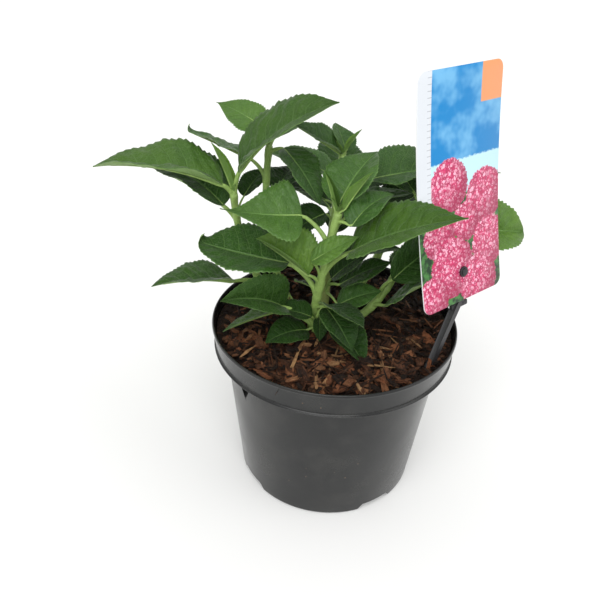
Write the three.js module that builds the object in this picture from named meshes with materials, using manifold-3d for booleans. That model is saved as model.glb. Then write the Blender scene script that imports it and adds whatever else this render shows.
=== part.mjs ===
// A young hydrangea in leaf, with no blossom, in its plastic nursery pot of bark mulch.
// Millimetres, +Z up. The origin is the centre of the pot's flat underside.
// A heading turns from +X towards +Y, and a rise is up from level. Both are in degrees.
import * as THREE from "three";
import { mergeVertices } from "three/addons/utils/BufferGeometryUtils.js";
import Module from "manifold-3d";

const wasm = await Module();
wasm.setup();

// Clearance between pieces that touch
const GAP = 0.3;

// Nursery pot
const POT_HEIGHT = 128.5;
const POT_FOOT_RADIUS = 65.5;
const POT_RIM_RADIUS = 85.5;
const POT_WALL = 1.8;
const POT_FLOOR = 4;
const POT_BODY_TOP_RADIUS = 76.5;
const COLLAR_FOOT = 110;
const COLLAR_FOOT_RADIUS = 83;
const POT_SIDES = 56;
const NOTCH_COUNT = 4;
const NOTCH_FIRST = 36.5;
const NOTCH_HALF_WIDTH = 15.8;
const NOTCH_TOP_HALF_WIDTH = 10.5;
const NOTCH_HEIGHT = 6;
const NOTCH_INNER_RADIUS = 56;
const DENT_COUNT = 3;
const DENT_FIRST = -18.5;
const DENT_WIDTH = 29;
const DENT_HEIGHT = 22;
const DENT_REACH = 75;
const DRAIN_COUNT = 8;
const DRAIN_CIRCLE = 38;
const DRAIN_RADIUS = 4;

// Root ball and bark
const MULCH_LEVEL = 121;
const MULCH_CROWN = 2;
const MULCH_RELIEF = 1.6;
const MULCH_DEPTH = 6;
const MULCH_RINGS = 5;
const MULCH_SIDES = 28;
const CHIP_COUNT = 36;
const CHIP_LENGTH = [9, 19];
const CHIP_WIDTH = [4, 7];
const CHIP_THICKNESS = 2.6;

// Stems
const STEM_DEPTH = 8;
const STEM_SIDES = 8;
const STALK_SIDES = 5;
const STALK_RADIUS = 2.1;
const STALK_TIP_RADIUS = 1.3;

// Leaf blades
const BLADE_THICKNESS = 0.012;
const BLADE_STEPS = 8;
const MIDRIB_STEPS = 24;
const OUTLINE_POWER = 0.57;

// Plant tag and its holder
const TAG_CENTRE = [72.5, -5, 230.5];
const TAG_HEADING = 42.7;
const TAG_LEAN = 12.5;
const TAG_WIDTH = 74;
const TAG_HEIGHT = 144;
const TAG_THICKNESS = 1;
const TAG_CORNER = 6;
const TAG_BOW = 3;
const PEG_DROP = 53;
const PEG_RADIUS = 2.6;
const PEG_HEAD_RADIUS = 3.5;
const HOLDER_FOOT = [64, -40];
const HOLDER_DEPTH = 6;

const radians = THREE.MathUtils.degToRad;
const point = (x, y, z) => new THREE.Vector3(x, y, z);

// The same whole numbers in any language: a Lehmer generator
function seeded(seed) {
  let state = seed;
  return () => {
    state = (state * 16807) % 2147483647;
    return state / 2147483647;
  };
}

function between(random, low, high) {
  return low + (high - low) * random();
}

function solid(geometry) {
  const bare = geometry.index ? geometry.clone() : mergeVertices(geometry);
  bare.deleteAttribute("normal");
  bare.deleteAttribute("uv");
  const merged = mergeVertices(bare, 1e-4);
  return new wasm.Manifold(new wasm.Mesh({
    numProp: 3,
    vertProperties: new Float32Array(merged.attributes.position.array),
    triVerts: new Uint32Array(merged.index.array),
  }));
}

function shapeOf(manifold) {
  const mesh = manifold.getMesh();
  const geometry = new THREE.BufferGeometry();
  geometry.setAttribute("position", new THREE.BufferAttribute(mesh.vertProperties, 3));
  geometry.setIndex(new THREE.BufferAttribute(mesh.triVerts, 1));
  geometry.computeVertexNormals();
  return geometry;
}

function joined(solids) {
  return solids.reduce((sum, next) => sum.add(next));
}

function direction(heading, rise) {
  const turn = radians(heading);
  const lift = radians(rise);
  return point(Math.cos(lift) * Math.cos(turn), Math.cos(lift) * Math.sin(turn), Math.sin(lift));
}

// A round limb through the given points, with a radius at each, and its own course at each if given
function limb(points, radii, sides, course = null) {
  const steps = points.length - 1;
  const geometry = new THREE.CylinderGeometry(1, 1, 1, sides, steps);
  const places = geometry.attributes.position;
  const frames = [];
  let across = point(0, 1, 0);
  points.forEach((here, i) => {
    const chord = points[Math.min(i + 1, steps)].clone().sub(points[Math.max(i - 1, 0)]);
    const ahead = (course ? course[i] : chord).clone().normalize();
    across = across.clone().addScaledVector(ahead, -across.dot(ahead)).normalize();
    frames.push({ here, across, over: across.clone().cross(ahead), radius: radii[i] });
  });
  for (let i = 0; i < places.count; i += 1) {
    const frame = frames[Math.round((places.getY(i) + 0.5) * steps)];
    const place = frame.here.clone()
      .addScaledVector(frame.across, places.getX(i) * frame.radius)
      .addScaledVector(frame.over, places.getZ(i) * frame.radius);
    places.setXYZ(i, place.x, place.y, place.z);
  }
  return geometry;
}

// Half of a blade's width, from 0 to 1, along its midrib from its foot at 0 to its tip at 1.
// A taper over 1 draws the tip out.
function outline(s, taper) {
  const widest = OUTLINE_POWER / (OUTLINE_POWER + taper);
  const full = widest ** OUTLINE_POWER * (1 - widest) ** taper;
  return (s ** OUTLINE_POWER * (1 - s) ** taper) / full;
}

// The midrib as places with the frame that a blade hangs on
function midrib(leaf, foot) {
  const [length, heading, rise] = leaf.blade;
  const here = foot.clone();
  const places = [];
  for (let i = 0; i <= MIDRIB_STEPS; i += 1) {
    const s = i / MIDRIB_STEPS;
    const turn = heading + leaf.sweep * (s - 0.5);
    const lift = rise - leaf.droop * (s - 0.5);
    const along = direction(turn, lift);
    const level = direction(turn + 90, 0);
    const up = along.clone().cross(level);
    const roll = radians(leaf.roll);
    const side = level.clone().multiplyScalar(Math.cos(roll)).addScaledVector(up, Math.sin(roll));
    const face = up.clone().multiplyScalar(Math.cos(roll)).addScaledVector(level, -Math.sin(roll));
    places.push({ here: here.clone(), along, side, face });
    here.addScaledVector(direction(turn, lift), length / MIDRIB_STEPS);
  }
  return places;
}

function blade(leaf, places) {
  const length = leaf.blade[0];
  const geometry = new THREE.BoxGeometry(1, 2, 1, BLADE_STEPS, 2, 1);
  const spots = geometry.attributes.position;
  const fold = radians(leaf.fold);
  const thick = length * BLADE_THICKNESS;
  for (let i = 0; i < spots.count; i += 1) {
    const s = spots.getX(i) + 0.5;
    const v = spots.getY(i);
    const rib = places[Math.round(s * MIDRIB_STEPS)];
    const half = Math.max(outline(s, leaf.taper) * length * leaf.plump / 2, thick);
    const place = rib.here.clone()
      .addScaledVector(rib.side, v * half * Math.cos(fold))
      .addScaledVector(rib.face, Math.abs(v) * half * Math.sin(fold) + spots.getZ(i) * thick);
    spots.setXYZ(i, place.x, place.y, place.z);
  }
  return geometry;
}

// Where a stem is, from its foot at 0 to its tip at 1: a bow through one knee
function along(stem, t) {
  const [foot, knee, tip] = [stem.foot, stem.knee, stem.tip].map((place) => point(...place));
  return foot.multiplyScalar((1 - t) ** 2)
    .addScaledVector(knee, 2 * t * (1 - t))
    .addScaledVector(tip, t * t);
}

function courseOf(stem, t) {
  const [foot, knee, tip] = [stem.foot, stem.knee, stem.tip].map((place) => point(...place));
  return tip.sub(knee).multiplyScalar(t).addScaledVector(knee.sub(foot), 1 - t);
}

function stemRadius(stem, t) {
  return THREE.MathUtils.lerp(stem.thick[0], stem.thick[1], t) / 2;
}

function stretch(stem, from, to, steps, extra = 0) {
  const places = Array.from({ length: steps + 1 }, (_, i) => THREE.MathUtils.lerp(from, to, i / steps));
  return limb(
    places.map((t) => along(stem, t)),
    places.map((t) => stemRadius(stem, t) + extra),
    STEM_SIDES,
    places.map((t) => courseOf(stem, t)),
  );
}

// A leaf with its stalk, which leaves the stem steeply and runs on under the blade
function leafSolids(stem, leaf) {
  const [length, heading, lift] = leaf.stalk;
  const root = along(stem, leaf.at);
  const foot = root.clone().addScaledVector(direction(heading, lift), length);
  const bend = root.clone().addScaledVector(direction(heading, Math.min(lift + 24, 88)), length * 0.5);
  const places = midrib(leaf, foot);
  const points = [0, 0.3, 0.65].map((t) => root.clone().multiplyScalar((1 - t) ** 2)
    .addScaledVector(bend, 2 * t * (1 - t))
    .addScaledVector(foot, t * t));
  for (const i of [1, 9]) {
    points.push(places[i].here.clone().addScaledVector(places[i].face, -leaf.blade[0] * BLADE_THICKNESS * 0.5));
  }
  const scale = Math.min(1, leaf.blade[0] / 60);
  const radii = points.map((_, i) => scale
    * THREE.MathUtils.lerp(STALK_RADIUS, STALK_TIP_RADIUS * 0.7, i / (points.length - 1)));
  return [solid(limb(points, radii, STALK_SIDES)), solid(blade(leaf, places))];
}

const PLAIN_LEAF = { plump: 0.66, taper: 1, droop: 24, sweep: 0, roll: 0, fold: 20 };
const YOUNG = { plump: 0.34, fold: 62, droop: 10 };

// at: where on the stem. stalk and blade: length, heading and rise.
function leaf(at, stalk, blade, habit = {}) {
  return { ...PLAIN_LEAF, at, stalk, blade, ...habit };
}

// A leaf that the seed varies a little
function wild(at, heading, stalk, length, rise) {
  const turn = heading + between(growth, -8, 8);
  const size = length * between(growth, 0.94, 1.06);
  return leaf(at, [stalk, turn, rise + 34], [size, turn + between(growth, -10, 10), rise], {
    droop: between(growth, 18, 36),
    roll: between(growth, -10, 10),
    fold: between(growth, 12, 24),
  });
}

const growth = seeded(29);
const FEET = MULCH_LEVEL - STEM_DEPTH;

// Stems: foot, knee and tip, thickness at foot and tip, and where the bare limb ends
const STEMS = {
  front: {
    foot: [-16, -6, FEET], knee: [-14, -15, 150], tip: [-2, -20, 217], thick: [6.6, 5], bare: 0.28,
    leaves: [
      leaf(0.44, [32, -177, 52], [66, 174, 8], { plump: 0.82, droop: -4, sweep: -14, roll: -8, fold: 14 }),
      leaf(0.53, [40, -33, 57], [80, -27, 31], { plump: 0.6, taper: 1.25, droop: 18, roll: 22 }),
      leaf(0.53, [18, -127, 48], [42, 157, 22], { plump: 1.08, droop: 12, roll: -8, fold: 50 }),
      leaf(0.56, [27, -115, 57], [34, 4, 33], { plump: 0.5, droop: 10, roll: 28, fold: 10 }),
      leaf(0.8, [27, 168, 47], [52, -160, 10], {
        plump: 0.84, taper: 2.1, droop: -20, sweep: 12, roll: -34, fold: 16,
      }),
      leaf(0.95, [11, 66, 76], [47, 58, 28], { plump: 0.79, sweep: -10, roll: -6 }),
      leaf(0.95, [13, -42, 8], [36, 40, 22], { plump: 0.7, droop: 50, sweep: -10, roll: 6 }),
    ],
  },
  left: {
    foot: [-25, 6, FEET], knee: [-72, 32, 140], tip: [-71, 8, 213], thick: [6.2, 4.6], bare: 0.24,
    leaves: [
      leaf(0.36, [25, -147, 22], [58, -152, 7], { plump: 0.7, roll: 10 }),
      leaf(0.72, [29, -153, 65], [71, 156, 13], { droop: 46, sweep: 7 }),
      leaf(0.97, [14, -139, 54], [84, 182, 5], { plump: 0.62, droop: 33, sweep: -5, fold: 24 }),
      leaf(0.97, [23, -45, 71], [79, -9, 38], { plump: 0.6, droop: 36, roll: 20 }),
      leaf(0.99, [5, 180, 76], [32, 172, 66], YOUNG),
    ],
  },
  back_left: {
    foot: [-25, 20, FEET], knee: [-60, 32, 150], tip: [-50, 25, 240], thick: [6, 4.4], bare: 0.3,
    leaves: [
      wild(0.5, 100, 20, 48, -4),
      leaf(0.86, [18, 157, 45], [50, 171, 17], { droop: 11, sweep: -12, roll: 17, fold: 9 }),
      leaf(0.97, [13, -23, 27], [45, -44, -37], { sweep: -4, roll: -7, fold: 15 }),
      leaf(0.98, [16, 145, 69], [38, 153, 14], { taper: 1.3, droop: 13, sweep: 8, roll: -27, fold: 8 }),
      wild(0.98, 75, 10, 44, 4),
    ],
  },
  right: {
    foot: [-4, 4, FEET], knee: [45, 6, 132], tip: [50, 20, 212], thick: [6.4, 4.6], bare: 0.31,
    leaves: [
      leaf(0.42, [26, -53, 61], [52, 37, 22], { roll: 45, fold: 38 }),
      leaf(0.36, [12, -41, 26], [50, -14, 41], { droop: 10, roll: -10, fold: 8 }),
      wild(0.5, 60, 16, 50, -6),
      wild(0.97, 28, 12, 46, 14),
      wild(0.97, 130, 10, 40, 22),
    ],
  },
  middle: {
    foot: [-8, 8, FEET], knee: [-8, 10, 165], tip: [-2, 22, 238], thick: [6, 4.4], bare: 0.18,
    leaves: [
      leaf(0.3, [14, -40, 29], [40, 11, 25], { sweep: 7, fold: 8 }),
      leaf(0.26, [18, -59, 0], [32, 0, 25], { plump: 0.73, roll: 23, fold: 10 }),
      leaf(0.6, [26, 14, 50], [38, 16, 14]),
      wild(0.4, 12, 14, 44, 8),
      leaf(0.78, [27, 2, 40], [61, 14, 6], { plump: 0.74, droop: 12, sweep: 5, roll: 9 }),
      leaf(0.98, [4, 112, 48], [38, 189, 31], { plump: 0.71, droop: 4, sweep: -6, roll: -9, fold: 26 }),
      leaf(0.98, [6, 64, 32], [28, 110, 25], { roll: 19 }),
      leaf(0.99, [4, 0, 68], [18, 13, 56], YOUNG),
    ],
  },
  back_right: {
    foot: [-4, 17, FEET], knee: [28, 36, 140], tip: [40, 46, 196], thick: [6, 4.4], bare: 0.3,
    leaves: [
      wild(0.5, 70, 18, 54, 0),
      leaf(0.75, [38, 4, 21], [69, 16, -8], { taper: 0.7, droop: 8, sweep: 26, roll: 48, fold: 35 }),
      wild(0.97, 5, 15, 50, 10),
      wild(0.97, 82, 15, 50, 16),
    ],
  },
  back: {
    foot: [-15, 18, FEET], knee: [-10, 46, 145], tip: [2, 62, 200], thick: [6, 4.4], bare: 0.3,
    leaves: [
      wild(0.45, 170, 18, 54, -6),
      wild(0.72, 115, 18, 58, 0),
      wild(0.97, 100, 14, 50, 12),
      wild(0.97, 176, 16, 50, 10),
    ],
  },
  low: {
    foot: [-12, -15, FEET], knee: [-12, -16, 126], tip: [-13, -17, 134], thick: [5, 4.4], bare: 0.5,
    leaves: [
      leaf(0.8, [28, -164, 38], [51, -142, 22], { plump: 0.74, droop: 40, sweep: -10, roll: -46, fold: 46 }),
      leaf(0.7, [28, 176, 22], [40, -153, -12], { droop: 17, sweep: -7, roll: 25, fold: 14 }),
      leaf(0.7, [6, -147, 0], [35, -139, 4], { droop: 36, sweep: 7, roll: -18, fold: 14 }),
      leaf(0.8, [8, -24, 65], [17, -87, -34], { roll: -12, fold: 24 }),
      leaf(0.75, [13, 2, 13], [40, -55, -14], { roll: 7, fold: 33 }),
    ],
  },
};

function stemPiece(stem) {
  return solid(stretch(stem, 0, stem.bare, 4));
}

function foliage(stem) {
  const length = along(stem, stem.bare).distanceTo(along(stem, stem.bare + 0.01)) * 100;
  const start = stem.bare + GAP / length;
  const solids = [solid(stretch(stem, start, 1, 6))];
  stem.leaves.forEach((each) => solids.push(...leafSolids(stem, each)));
  return joined(solids);
}

function lathe(profile, sides = POT_SIDES) {
  return solid(new THREE.LatheGeometry(profile.map(([r, z]) => new THREE.Vector2(r, z)), sides)
    .rotateX(Math.PI / 2));
}

// The trapezoid that a drainage notch takes from the pot's foot, grown by a margin
function notch(index, margin) {
  const shape = new THREE.Shape();
  shape.moveTo(-NOTCH_HALF_WIDTH - margin, -1);
  shape.lineTo(NOTCH_HALF_WIDTH + margin, -1);
  shape.lineTo(NOTCH_TOP_HALF_WIDTH + margin, NOTCH_HEIGHT + margin);
  shape.lineTo(-NOTCH_TOP_HALF_WIDTH - margin, NOTCH_HEIGHT + margin);
  const inner = NOTCH_INNER_RADIUS - margin;
  const geometry = new THREE.ExtrudeGeometry(shape, { depth: POT_RIM_RADIUS - inner, bevelEnabled: false });
  geometry.rotateX(Math.PI / 2).rotateZ(Math.PI / 2).translate(inner, 0, 0);
  return solid(geometry.rotateZ(radians(NOTCH_FIRST + index * 360 / NOTCH_COUNT)));
}

function dent(index, margin) {
  const wedge = new THREE.ConeGeometry(DENT_WIDTH / 2 + margin, DENT_HEIGHT + 2 * margin, 4);
  wedge.rotateX(-Math.PI / 2).rotateZ(Math.PI / 4).translate(DENT_REACH, 0, COLLAR_FOOT - DENT_HEIGHT / 2);
  return solid(wedge.rotateZ(radians(DENT_FIRST + index * 360 / DENT_COUNT)));
}

// What the notches and the dents take from the pot, grown by a margin
function inroads(margin) {
  return joined([
    ...Array.from({ length: NOTCH_COUNT }, (_, i) => notch(i, margin)),
    ...Array.from({ length: DENT_COUNT }, (_, i) => dent(i, margin)),
  ]);
}

// Inside the collar
function collarRadius(z) {
  return THREE.MathUtils.mapLinear(z, COLLAR_FOOT, POT_HEIGHT, COLLAR_FOOT_RADIUS, POT_RIM_RADIUS) - POT_WALL;
}

// The inside of the pot, less a margin
function cavityProfile(margin, top) {
  const shelf = COLLAR_FOOT + POT_WALL + margin;
  return [
    [0, POT_FLOOR + margin],
    [POT_FOOT_RADIUS - POT_WALL - margin, POT_FLOOR + margin],
    [POT_BODY_TOP_RADIUS - POT_WALL - margin, shelf],
    [collarRadius(shelf) - margin, shelf],
    [collarRadius(top) - margin, top],
    [0, top],
  ];
}

function pot() {
  const outside = lathe([
    [0, 0],
    [POT_FOOT_RADIUS - 1.2, 0],
    [POT_FOOT_RADIUS, 1.2],
    [POT_BODY_TOP_RADIUS, COLLAR_FOOT],
    [COLLAR_FOOT_RADIUS, COLLAR_FOOT],
    [POT_RIM_RADIUS, POT_HEIGHT - 1.2],
    [POT_RIM_RADIUS - 0.6, POT_HEIGHT],
    [0, POT_HEIGHT],
  ]);
  const cavity = lathe(cavityProfile(0, POT_HEIGHT + 1)).subtract(inroads(POT_WALL));
  const drain = solid(new THREE.CylinderGeometry(DRAIN_RADIUS, DRAIN_RADIUS, 3 * POT_FLOOR, 12)
    .rotateX(Math.PI / 2).translate(DRAIN_CIRCLE, 0, 0));
  const drains = joined(Array.from({ length: DRAIN_COUNT }, (_, i) => drain.rotate([0, 0, i * 360 / DRAIN_COUNT])));
  return outside.subtract(cavity).subtract(inroads(0)).subtract(drains);
}

function barkChip(random) {
  const [length, width] = [between(random, ...CHIP_LENGTH), between(random, ...CHIP_WIDTH)];
  const reach = Math.sqrt(random()) * (POT_RIM_RADIUS - POT_WALL - 9);
  const heading = random() * 360;
  const chip = new THREE.BoxGeometry(length, width, CHIP_THICKNESS)
    .rotateX(radians(between(random, -16, 16)))
    .rotateY(radians(between(random, -12, 12)))
    .rotateZ(random() * Math.PI)
    .translate(reach, 0, MULCH_LEVEL + MULCH_CROWN * (1 - reach / POT_RIM_RADIUS))
    .rotateZ(radians(heading));
  return solid(chip);
}

// The filled root ball, with bark on top and a socket round each limb that stands in it
function mulch(sockets) {
  const random = seeded(17);
  const ball = lathe(cavityProfile(GAP, MULCH_LEVEL)).subtract(inroads(POT_WALL + GAP));
  const mound = [];
  const reach = collarRadius(MULCH_LEVEL - MULCH_DEPTH) - 1;
  for (let i = 0; i <= MULCH_RINGS; i += 1) {
    const r = reach * (1 - i / MULCH_RINGS);
    mound.push(new THREE.Vector2(r, MULCH_LEVEL + MULCH_CROWN * (1 - (r / reach) ** 2)));
  }
  const bed = new THREE.LatheGeometry([
    new THREE.Vector2(0, MULCH_LEVEL - MULCH_DEPTH),
    new THREE.Vector2(reach, MULCH_LEVEL - MULCH_DEPTH),
    ...mound,
  ], MULCH_SIDES);
  const spots = bed.attributes.position;
  const lifts = new Map();
  for (let i = 0; i < spots.count; i += 1) {
    const [x, y, z] = [spots.getX(i), spots.getY(i), spots.getZ(i)];
    const r = Math.hypot(x, z);
    if (y > MULCH_LEVEL - MULCH_DEPTH && r > 1 && r < reach - 1) {
      const key = `${Math.round(x * 100)} ${Math.round(z * 100)}`;
      if (!lifts.has(key)) {
        lifts.set(key, between(random, -MULCH_RELIEF, MULCH_RELIEF));
      }
      spots.setY(i, y + lifts.get(key));
    }
  }
  const chips = Array.from({ length: CHIP_COUNT }, () => barkChip(random));
  const cleft = joined(sockets);
  return joined([ball, solid(bed.rotateX(Math.PI / 2)), ...chips]).subtract(cleft);
}

// The tag stands in a group of its own: X across it, Y up it, Z out of its printed face
const tagStand = new THREE.Group();
tagStand.position.set(...TAG_CENTRE);
tagStand.rotation.set(radians(90 - TAG_LEAN), 0, radians(TAG_HEADING), "ZXY");
tagStand.updateMatrixWorld();

function bowOf(y) {
  return TAG_BOW * ((2 * y / TAG_HEIGHT) ** 2 - 1);
}

function tagBoard() {
  const [w, h, r] = [TAG_WIDTH / 2, TAG_HEIGHT / 2, TAG_CORNER];
  const shape = new THREE.Shape();
  const rows = 10;
  shape.absarc(w - r, h - r, r, 0, Math.PI / 2);
  shape.absarc(-w + r, h - r, r, Math.PI / 2, Math.PI);
  for (let i = 1; i < rows; i += 1) {
    shape.lineTo(-w, (h - r) * (1 - 2 * i / rows));
  }
  shape.absarc(-w + r, -h + r, r, Math.PI, Math.PI * 1.5);
  shape.absarc(w - r, -h + r, r, Math.PI * 1.5, Math.PI * 2);
  for (let i = 1; i < rows; i += 1) {
    shape.lineTo(w, (h - r) * (2 * i / rows - 1));
  }
  const eye = new THREE.Path();
  eye.absarc(0, -PEG_DROP, PEG_RADIUS + GAP, 0, Math.PI * 2, true);
  shape.holes.push(eye);
  const geometry = new THREE.ExtrudeGeometry(shape, { depth: TAG_THICKNESS, bevelEnabled: false, curveSegments: 4 });
  const spots = geometry.attributes.position;
  for (let i = 0; i < spots.count; i += 1) {
    spots.setZ(i, spots.getZ(i) - TAG_THICKNESS / 2 + bowOf(spots.getY(i)));
  }
  return solid(geometry);
}

const HOLDER_TOP = 10;
const HOLDER_BAR = [15, 12, 3];
const backOfTag = bowOf(-PEG_DROP) - TAG_THICKNESS / 2 - GAP;

// The holder's peg, head and bar, in the tag's own frame
function holderHead() {
  const [wide, high, deep] = HOLDER_BAR;
  const bottom = -TAG_HEIGHT / 2 - HOLDER_TOP / 2;
  const plate = new THREE.BoxGeometry(wide * 0.6, TAG_HEIGHT / 2 - PEG_DROP + HOLDER_TOP, deep)
    .translate(0, (bottom - PEG_DROP + HOLDER_TOP / 2) / 2, backOfTag - 1.2 - deep / 2);
  const peg = new THREE.CylinderGeometry(PEG_RADIUS, PEG_RADIUS, 6, 12)
    .rotateX(Math.PI / 2).translate(0, -PEG_DROP, backOfTag + 0.6);
  const knobAt = bowOf(-PEG_DROP) + TAG_THICKNESS / 2 + GAP + 0.6;
  const knob = new THREE.CylinderGeometry(PEG_HEAD_RADIUS, PEG_HEAD_RADIUS, 1.2, 12)
    .rotateX(Math.PI / 2).translate(0, -PEG_DROP, knobAt);
  const bar = new THREE.BoxGeometry(wide, high * 0.3, deep).translate(0, bottom, backOfTag - 1.2 - deep / 2);
  return joined([plate, peg, knob, bar].map((each) => solid(each.applyMatrix4(tagStand.matrixWorld))));
}

function holderStick(extra = 0, deeper = 0) {
  const bottom = point(HOLDER_FOOT[0], HOLDER_FOOT[1], MULCH_LEVEL);
  const head = point(0, -TAG_HEIGHT / 2 - 2, backOfTag - 2.7).applyMatrix4(tagStand.matrixWorld);
  const down = bottom.clone().sub(head).normalize();
  const points = [bottom.clone().addScaledVector(down, HOLDER_DEPTH + deeper), bottom, head];
  return solid(limb(points, [1.6, 2.8, 3.2].map((radius) => radius + extra), 4));
}

const COLOURS = {
  pot: { color: 0x2c2e30, roughness: 0.45, metalness: 0 },
  mulch: { color: 0x4a2c1e, roughness: 0.95, metalness: 0 },
  stem: { color: 0x8fae5a, roughness: 0.6, metalness: 0 },
  leaf: { color: 0x3f7a34, roughness: 0.55, metalness: 0 },
  tag: { color: 0xe6e9ee, roughness: 0.35, metalness: 0 },
  holder: { color: 0x202224, roughness: 0.5, metalness: 0 },
};

const model = new THREE.Group();

function place(name, geometry, finish, parent = model) {
  const mesh = new THREE.Mesh(geometry, new THREE.MeshStandardMaterial(COLOURS[finish]));
  mesh.name = name;
  parent.add(mesh);
}

const sockets = Object.values(STEMS).map((stem) => solid(stretch(stem, -0.01, stem.bare, 4, GAP)));
sockets.push(holderStick(GAP * 1.5, GAP * 2));

place("pot", shapeOf(pot()), "pot");
place("bark_mulch", shapeOf(mulch(sockets)), "mulch");
for (const [name, stem] of Object.entries(STEMS)) {
  place(`${name}_stem`, shapeOf(stemPiece(stem)), "stem");
  place(`${name}_foliage`, shapeOf(foliage(stem)), "leaf");
}
place("plant_tag", shapeOf(tagBoard()), "tag", tagStand);
place("tag_holder", shapeOf(holderHead().add(holderStick())), "holder");
model.add(tagStand);

export default model;
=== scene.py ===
"""A young hydrangea in leaf, in its nursery pot of bark mulch, with its plant tag.

Sizes in the growth tables are millimetres, as in the solids. Meshes are made in metres.
A heading turns from +X towards +Y, and a rise is up from level. Both are in degrees.
"""

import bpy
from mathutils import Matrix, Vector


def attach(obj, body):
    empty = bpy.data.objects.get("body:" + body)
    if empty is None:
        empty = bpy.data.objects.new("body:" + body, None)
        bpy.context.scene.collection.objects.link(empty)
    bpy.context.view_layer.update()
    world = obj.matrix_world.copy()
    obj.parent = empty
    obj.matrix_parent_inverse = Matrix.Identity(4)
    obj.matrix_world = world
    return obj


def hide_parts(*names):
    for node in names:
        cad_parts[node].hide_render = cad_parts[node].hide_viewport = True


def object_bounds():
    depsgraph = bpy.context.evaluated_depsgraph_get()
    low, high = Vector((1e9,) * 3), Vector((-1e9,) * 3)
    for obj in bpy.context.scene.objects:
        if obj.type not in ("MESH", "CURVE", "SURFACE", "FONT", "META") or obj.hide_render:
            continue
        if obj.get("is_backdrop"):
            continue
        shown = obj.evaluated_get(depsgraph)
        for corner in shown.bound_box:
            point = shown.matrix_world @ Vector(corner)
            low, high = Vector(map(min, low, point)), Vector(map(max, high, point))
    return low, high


bl_info = {
    "name": "Potted Hydrangea",
    "version": (1, 0, 0),
    "blender": (4, 5, 0),
    "location": "3D View > Sidebar > Hydrangea",
    "description": "Grows a young hydrangea and dresses its nursery pot, bark and tag",
    "category": "Add Mesh",
}

import math

import bmesh
import bpy
from bpy.props import FloatProperty, FloatVectorProperty, IntProperty, PointerProperty
from mathutils import Matrix, Vector, noise

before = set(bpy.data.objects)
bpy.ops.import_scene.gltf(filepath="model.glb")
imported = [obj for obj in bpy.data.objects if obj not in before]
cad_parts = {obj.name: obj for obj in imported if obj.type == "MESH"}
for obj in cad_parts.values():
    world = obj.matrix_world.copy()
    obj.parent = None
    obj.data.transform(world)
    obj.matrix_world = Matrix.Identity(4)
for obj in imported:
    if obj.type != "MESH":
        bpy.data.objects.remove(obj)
CAD_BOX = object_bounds()
MM = 0.001

# ---------------- growth rule


def seeded(seed):
    """Numbers from 0 to 1, the same ones as the solids' generator draws."""
    state = seed
    while True:
        state = state * 16807 % 2147483647
        yield state / 2147483647


def between(random, low, high):
    return low + (high - low) * next(random)


def lerp(a, b, t):
    return a + (b - a) * t


def bend(start, middle, end, t):
    """A curve from start to end that leans towards the middle."""
    return start * (1 - t) ** 2 + middle * 2 * t * (1 - t) + end * t * t


def smooth(low, high, x):
    t = min(max((x - low) / (high - low), 0.0), 1.0)
    return t * t * (3 - 2 * t)


def direction(heading, rise):
    turn, lift = math.radians(heading), math.radians(rise)
    return Vector((
        math.cos(lift) * math.cos(turn), math.cos(lift) * math.sin(turn), math.sin(lift),
    ))


# The habit deep is painted shade: how far a leaf's colour is darkened for the shade it lies in
PLAIN_LEAF = dict(plump=0.66, taper=1, droop=24, sweep=0, roll=0, fold=20, hook=0, age=0.0, deep=0.0)
YOUNG = dict(plump=0.34, fold=62, droop=10, age=1.0)


def leaf(at, stalk, blade, **habit):
    return {**PLAIN_LEAF, "at": at, "stalk": stalk, "blade": blade, **habit}


GROWTH = seeded(29)


def wild(at, heading, stalk, length, rise):
    """A leaf that the seed varies a little."""
    turn = heading + between(GROWTH, -8, 8)
    size = length * between(GROWTH, 0.94, 1.06)
    return leaf(
        at, (stalk, turn, rise + 34), (size, turn + between(GROWTH, -10, 10), rise),
        droop=between(GROWTH, 18, 36), roll=between(GROWTH, -10, 10), fold=between(GROWTH, 12, 24),
    )


STEM_FOOT_LEVEL = 113


def stem(foot, knee, tip, thick, bare, leaves):
    """Foot, knee and tip, thickness at foot and tip, where the bare limb ends, and its leaves."""
    return dict(foot=Vector((*foot, STEM_FOOT_LEVEL)), knee=Vector(knee), tip=Vector(tip),
                thick=thick, bare=bare, leaves=leaves)


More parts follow.
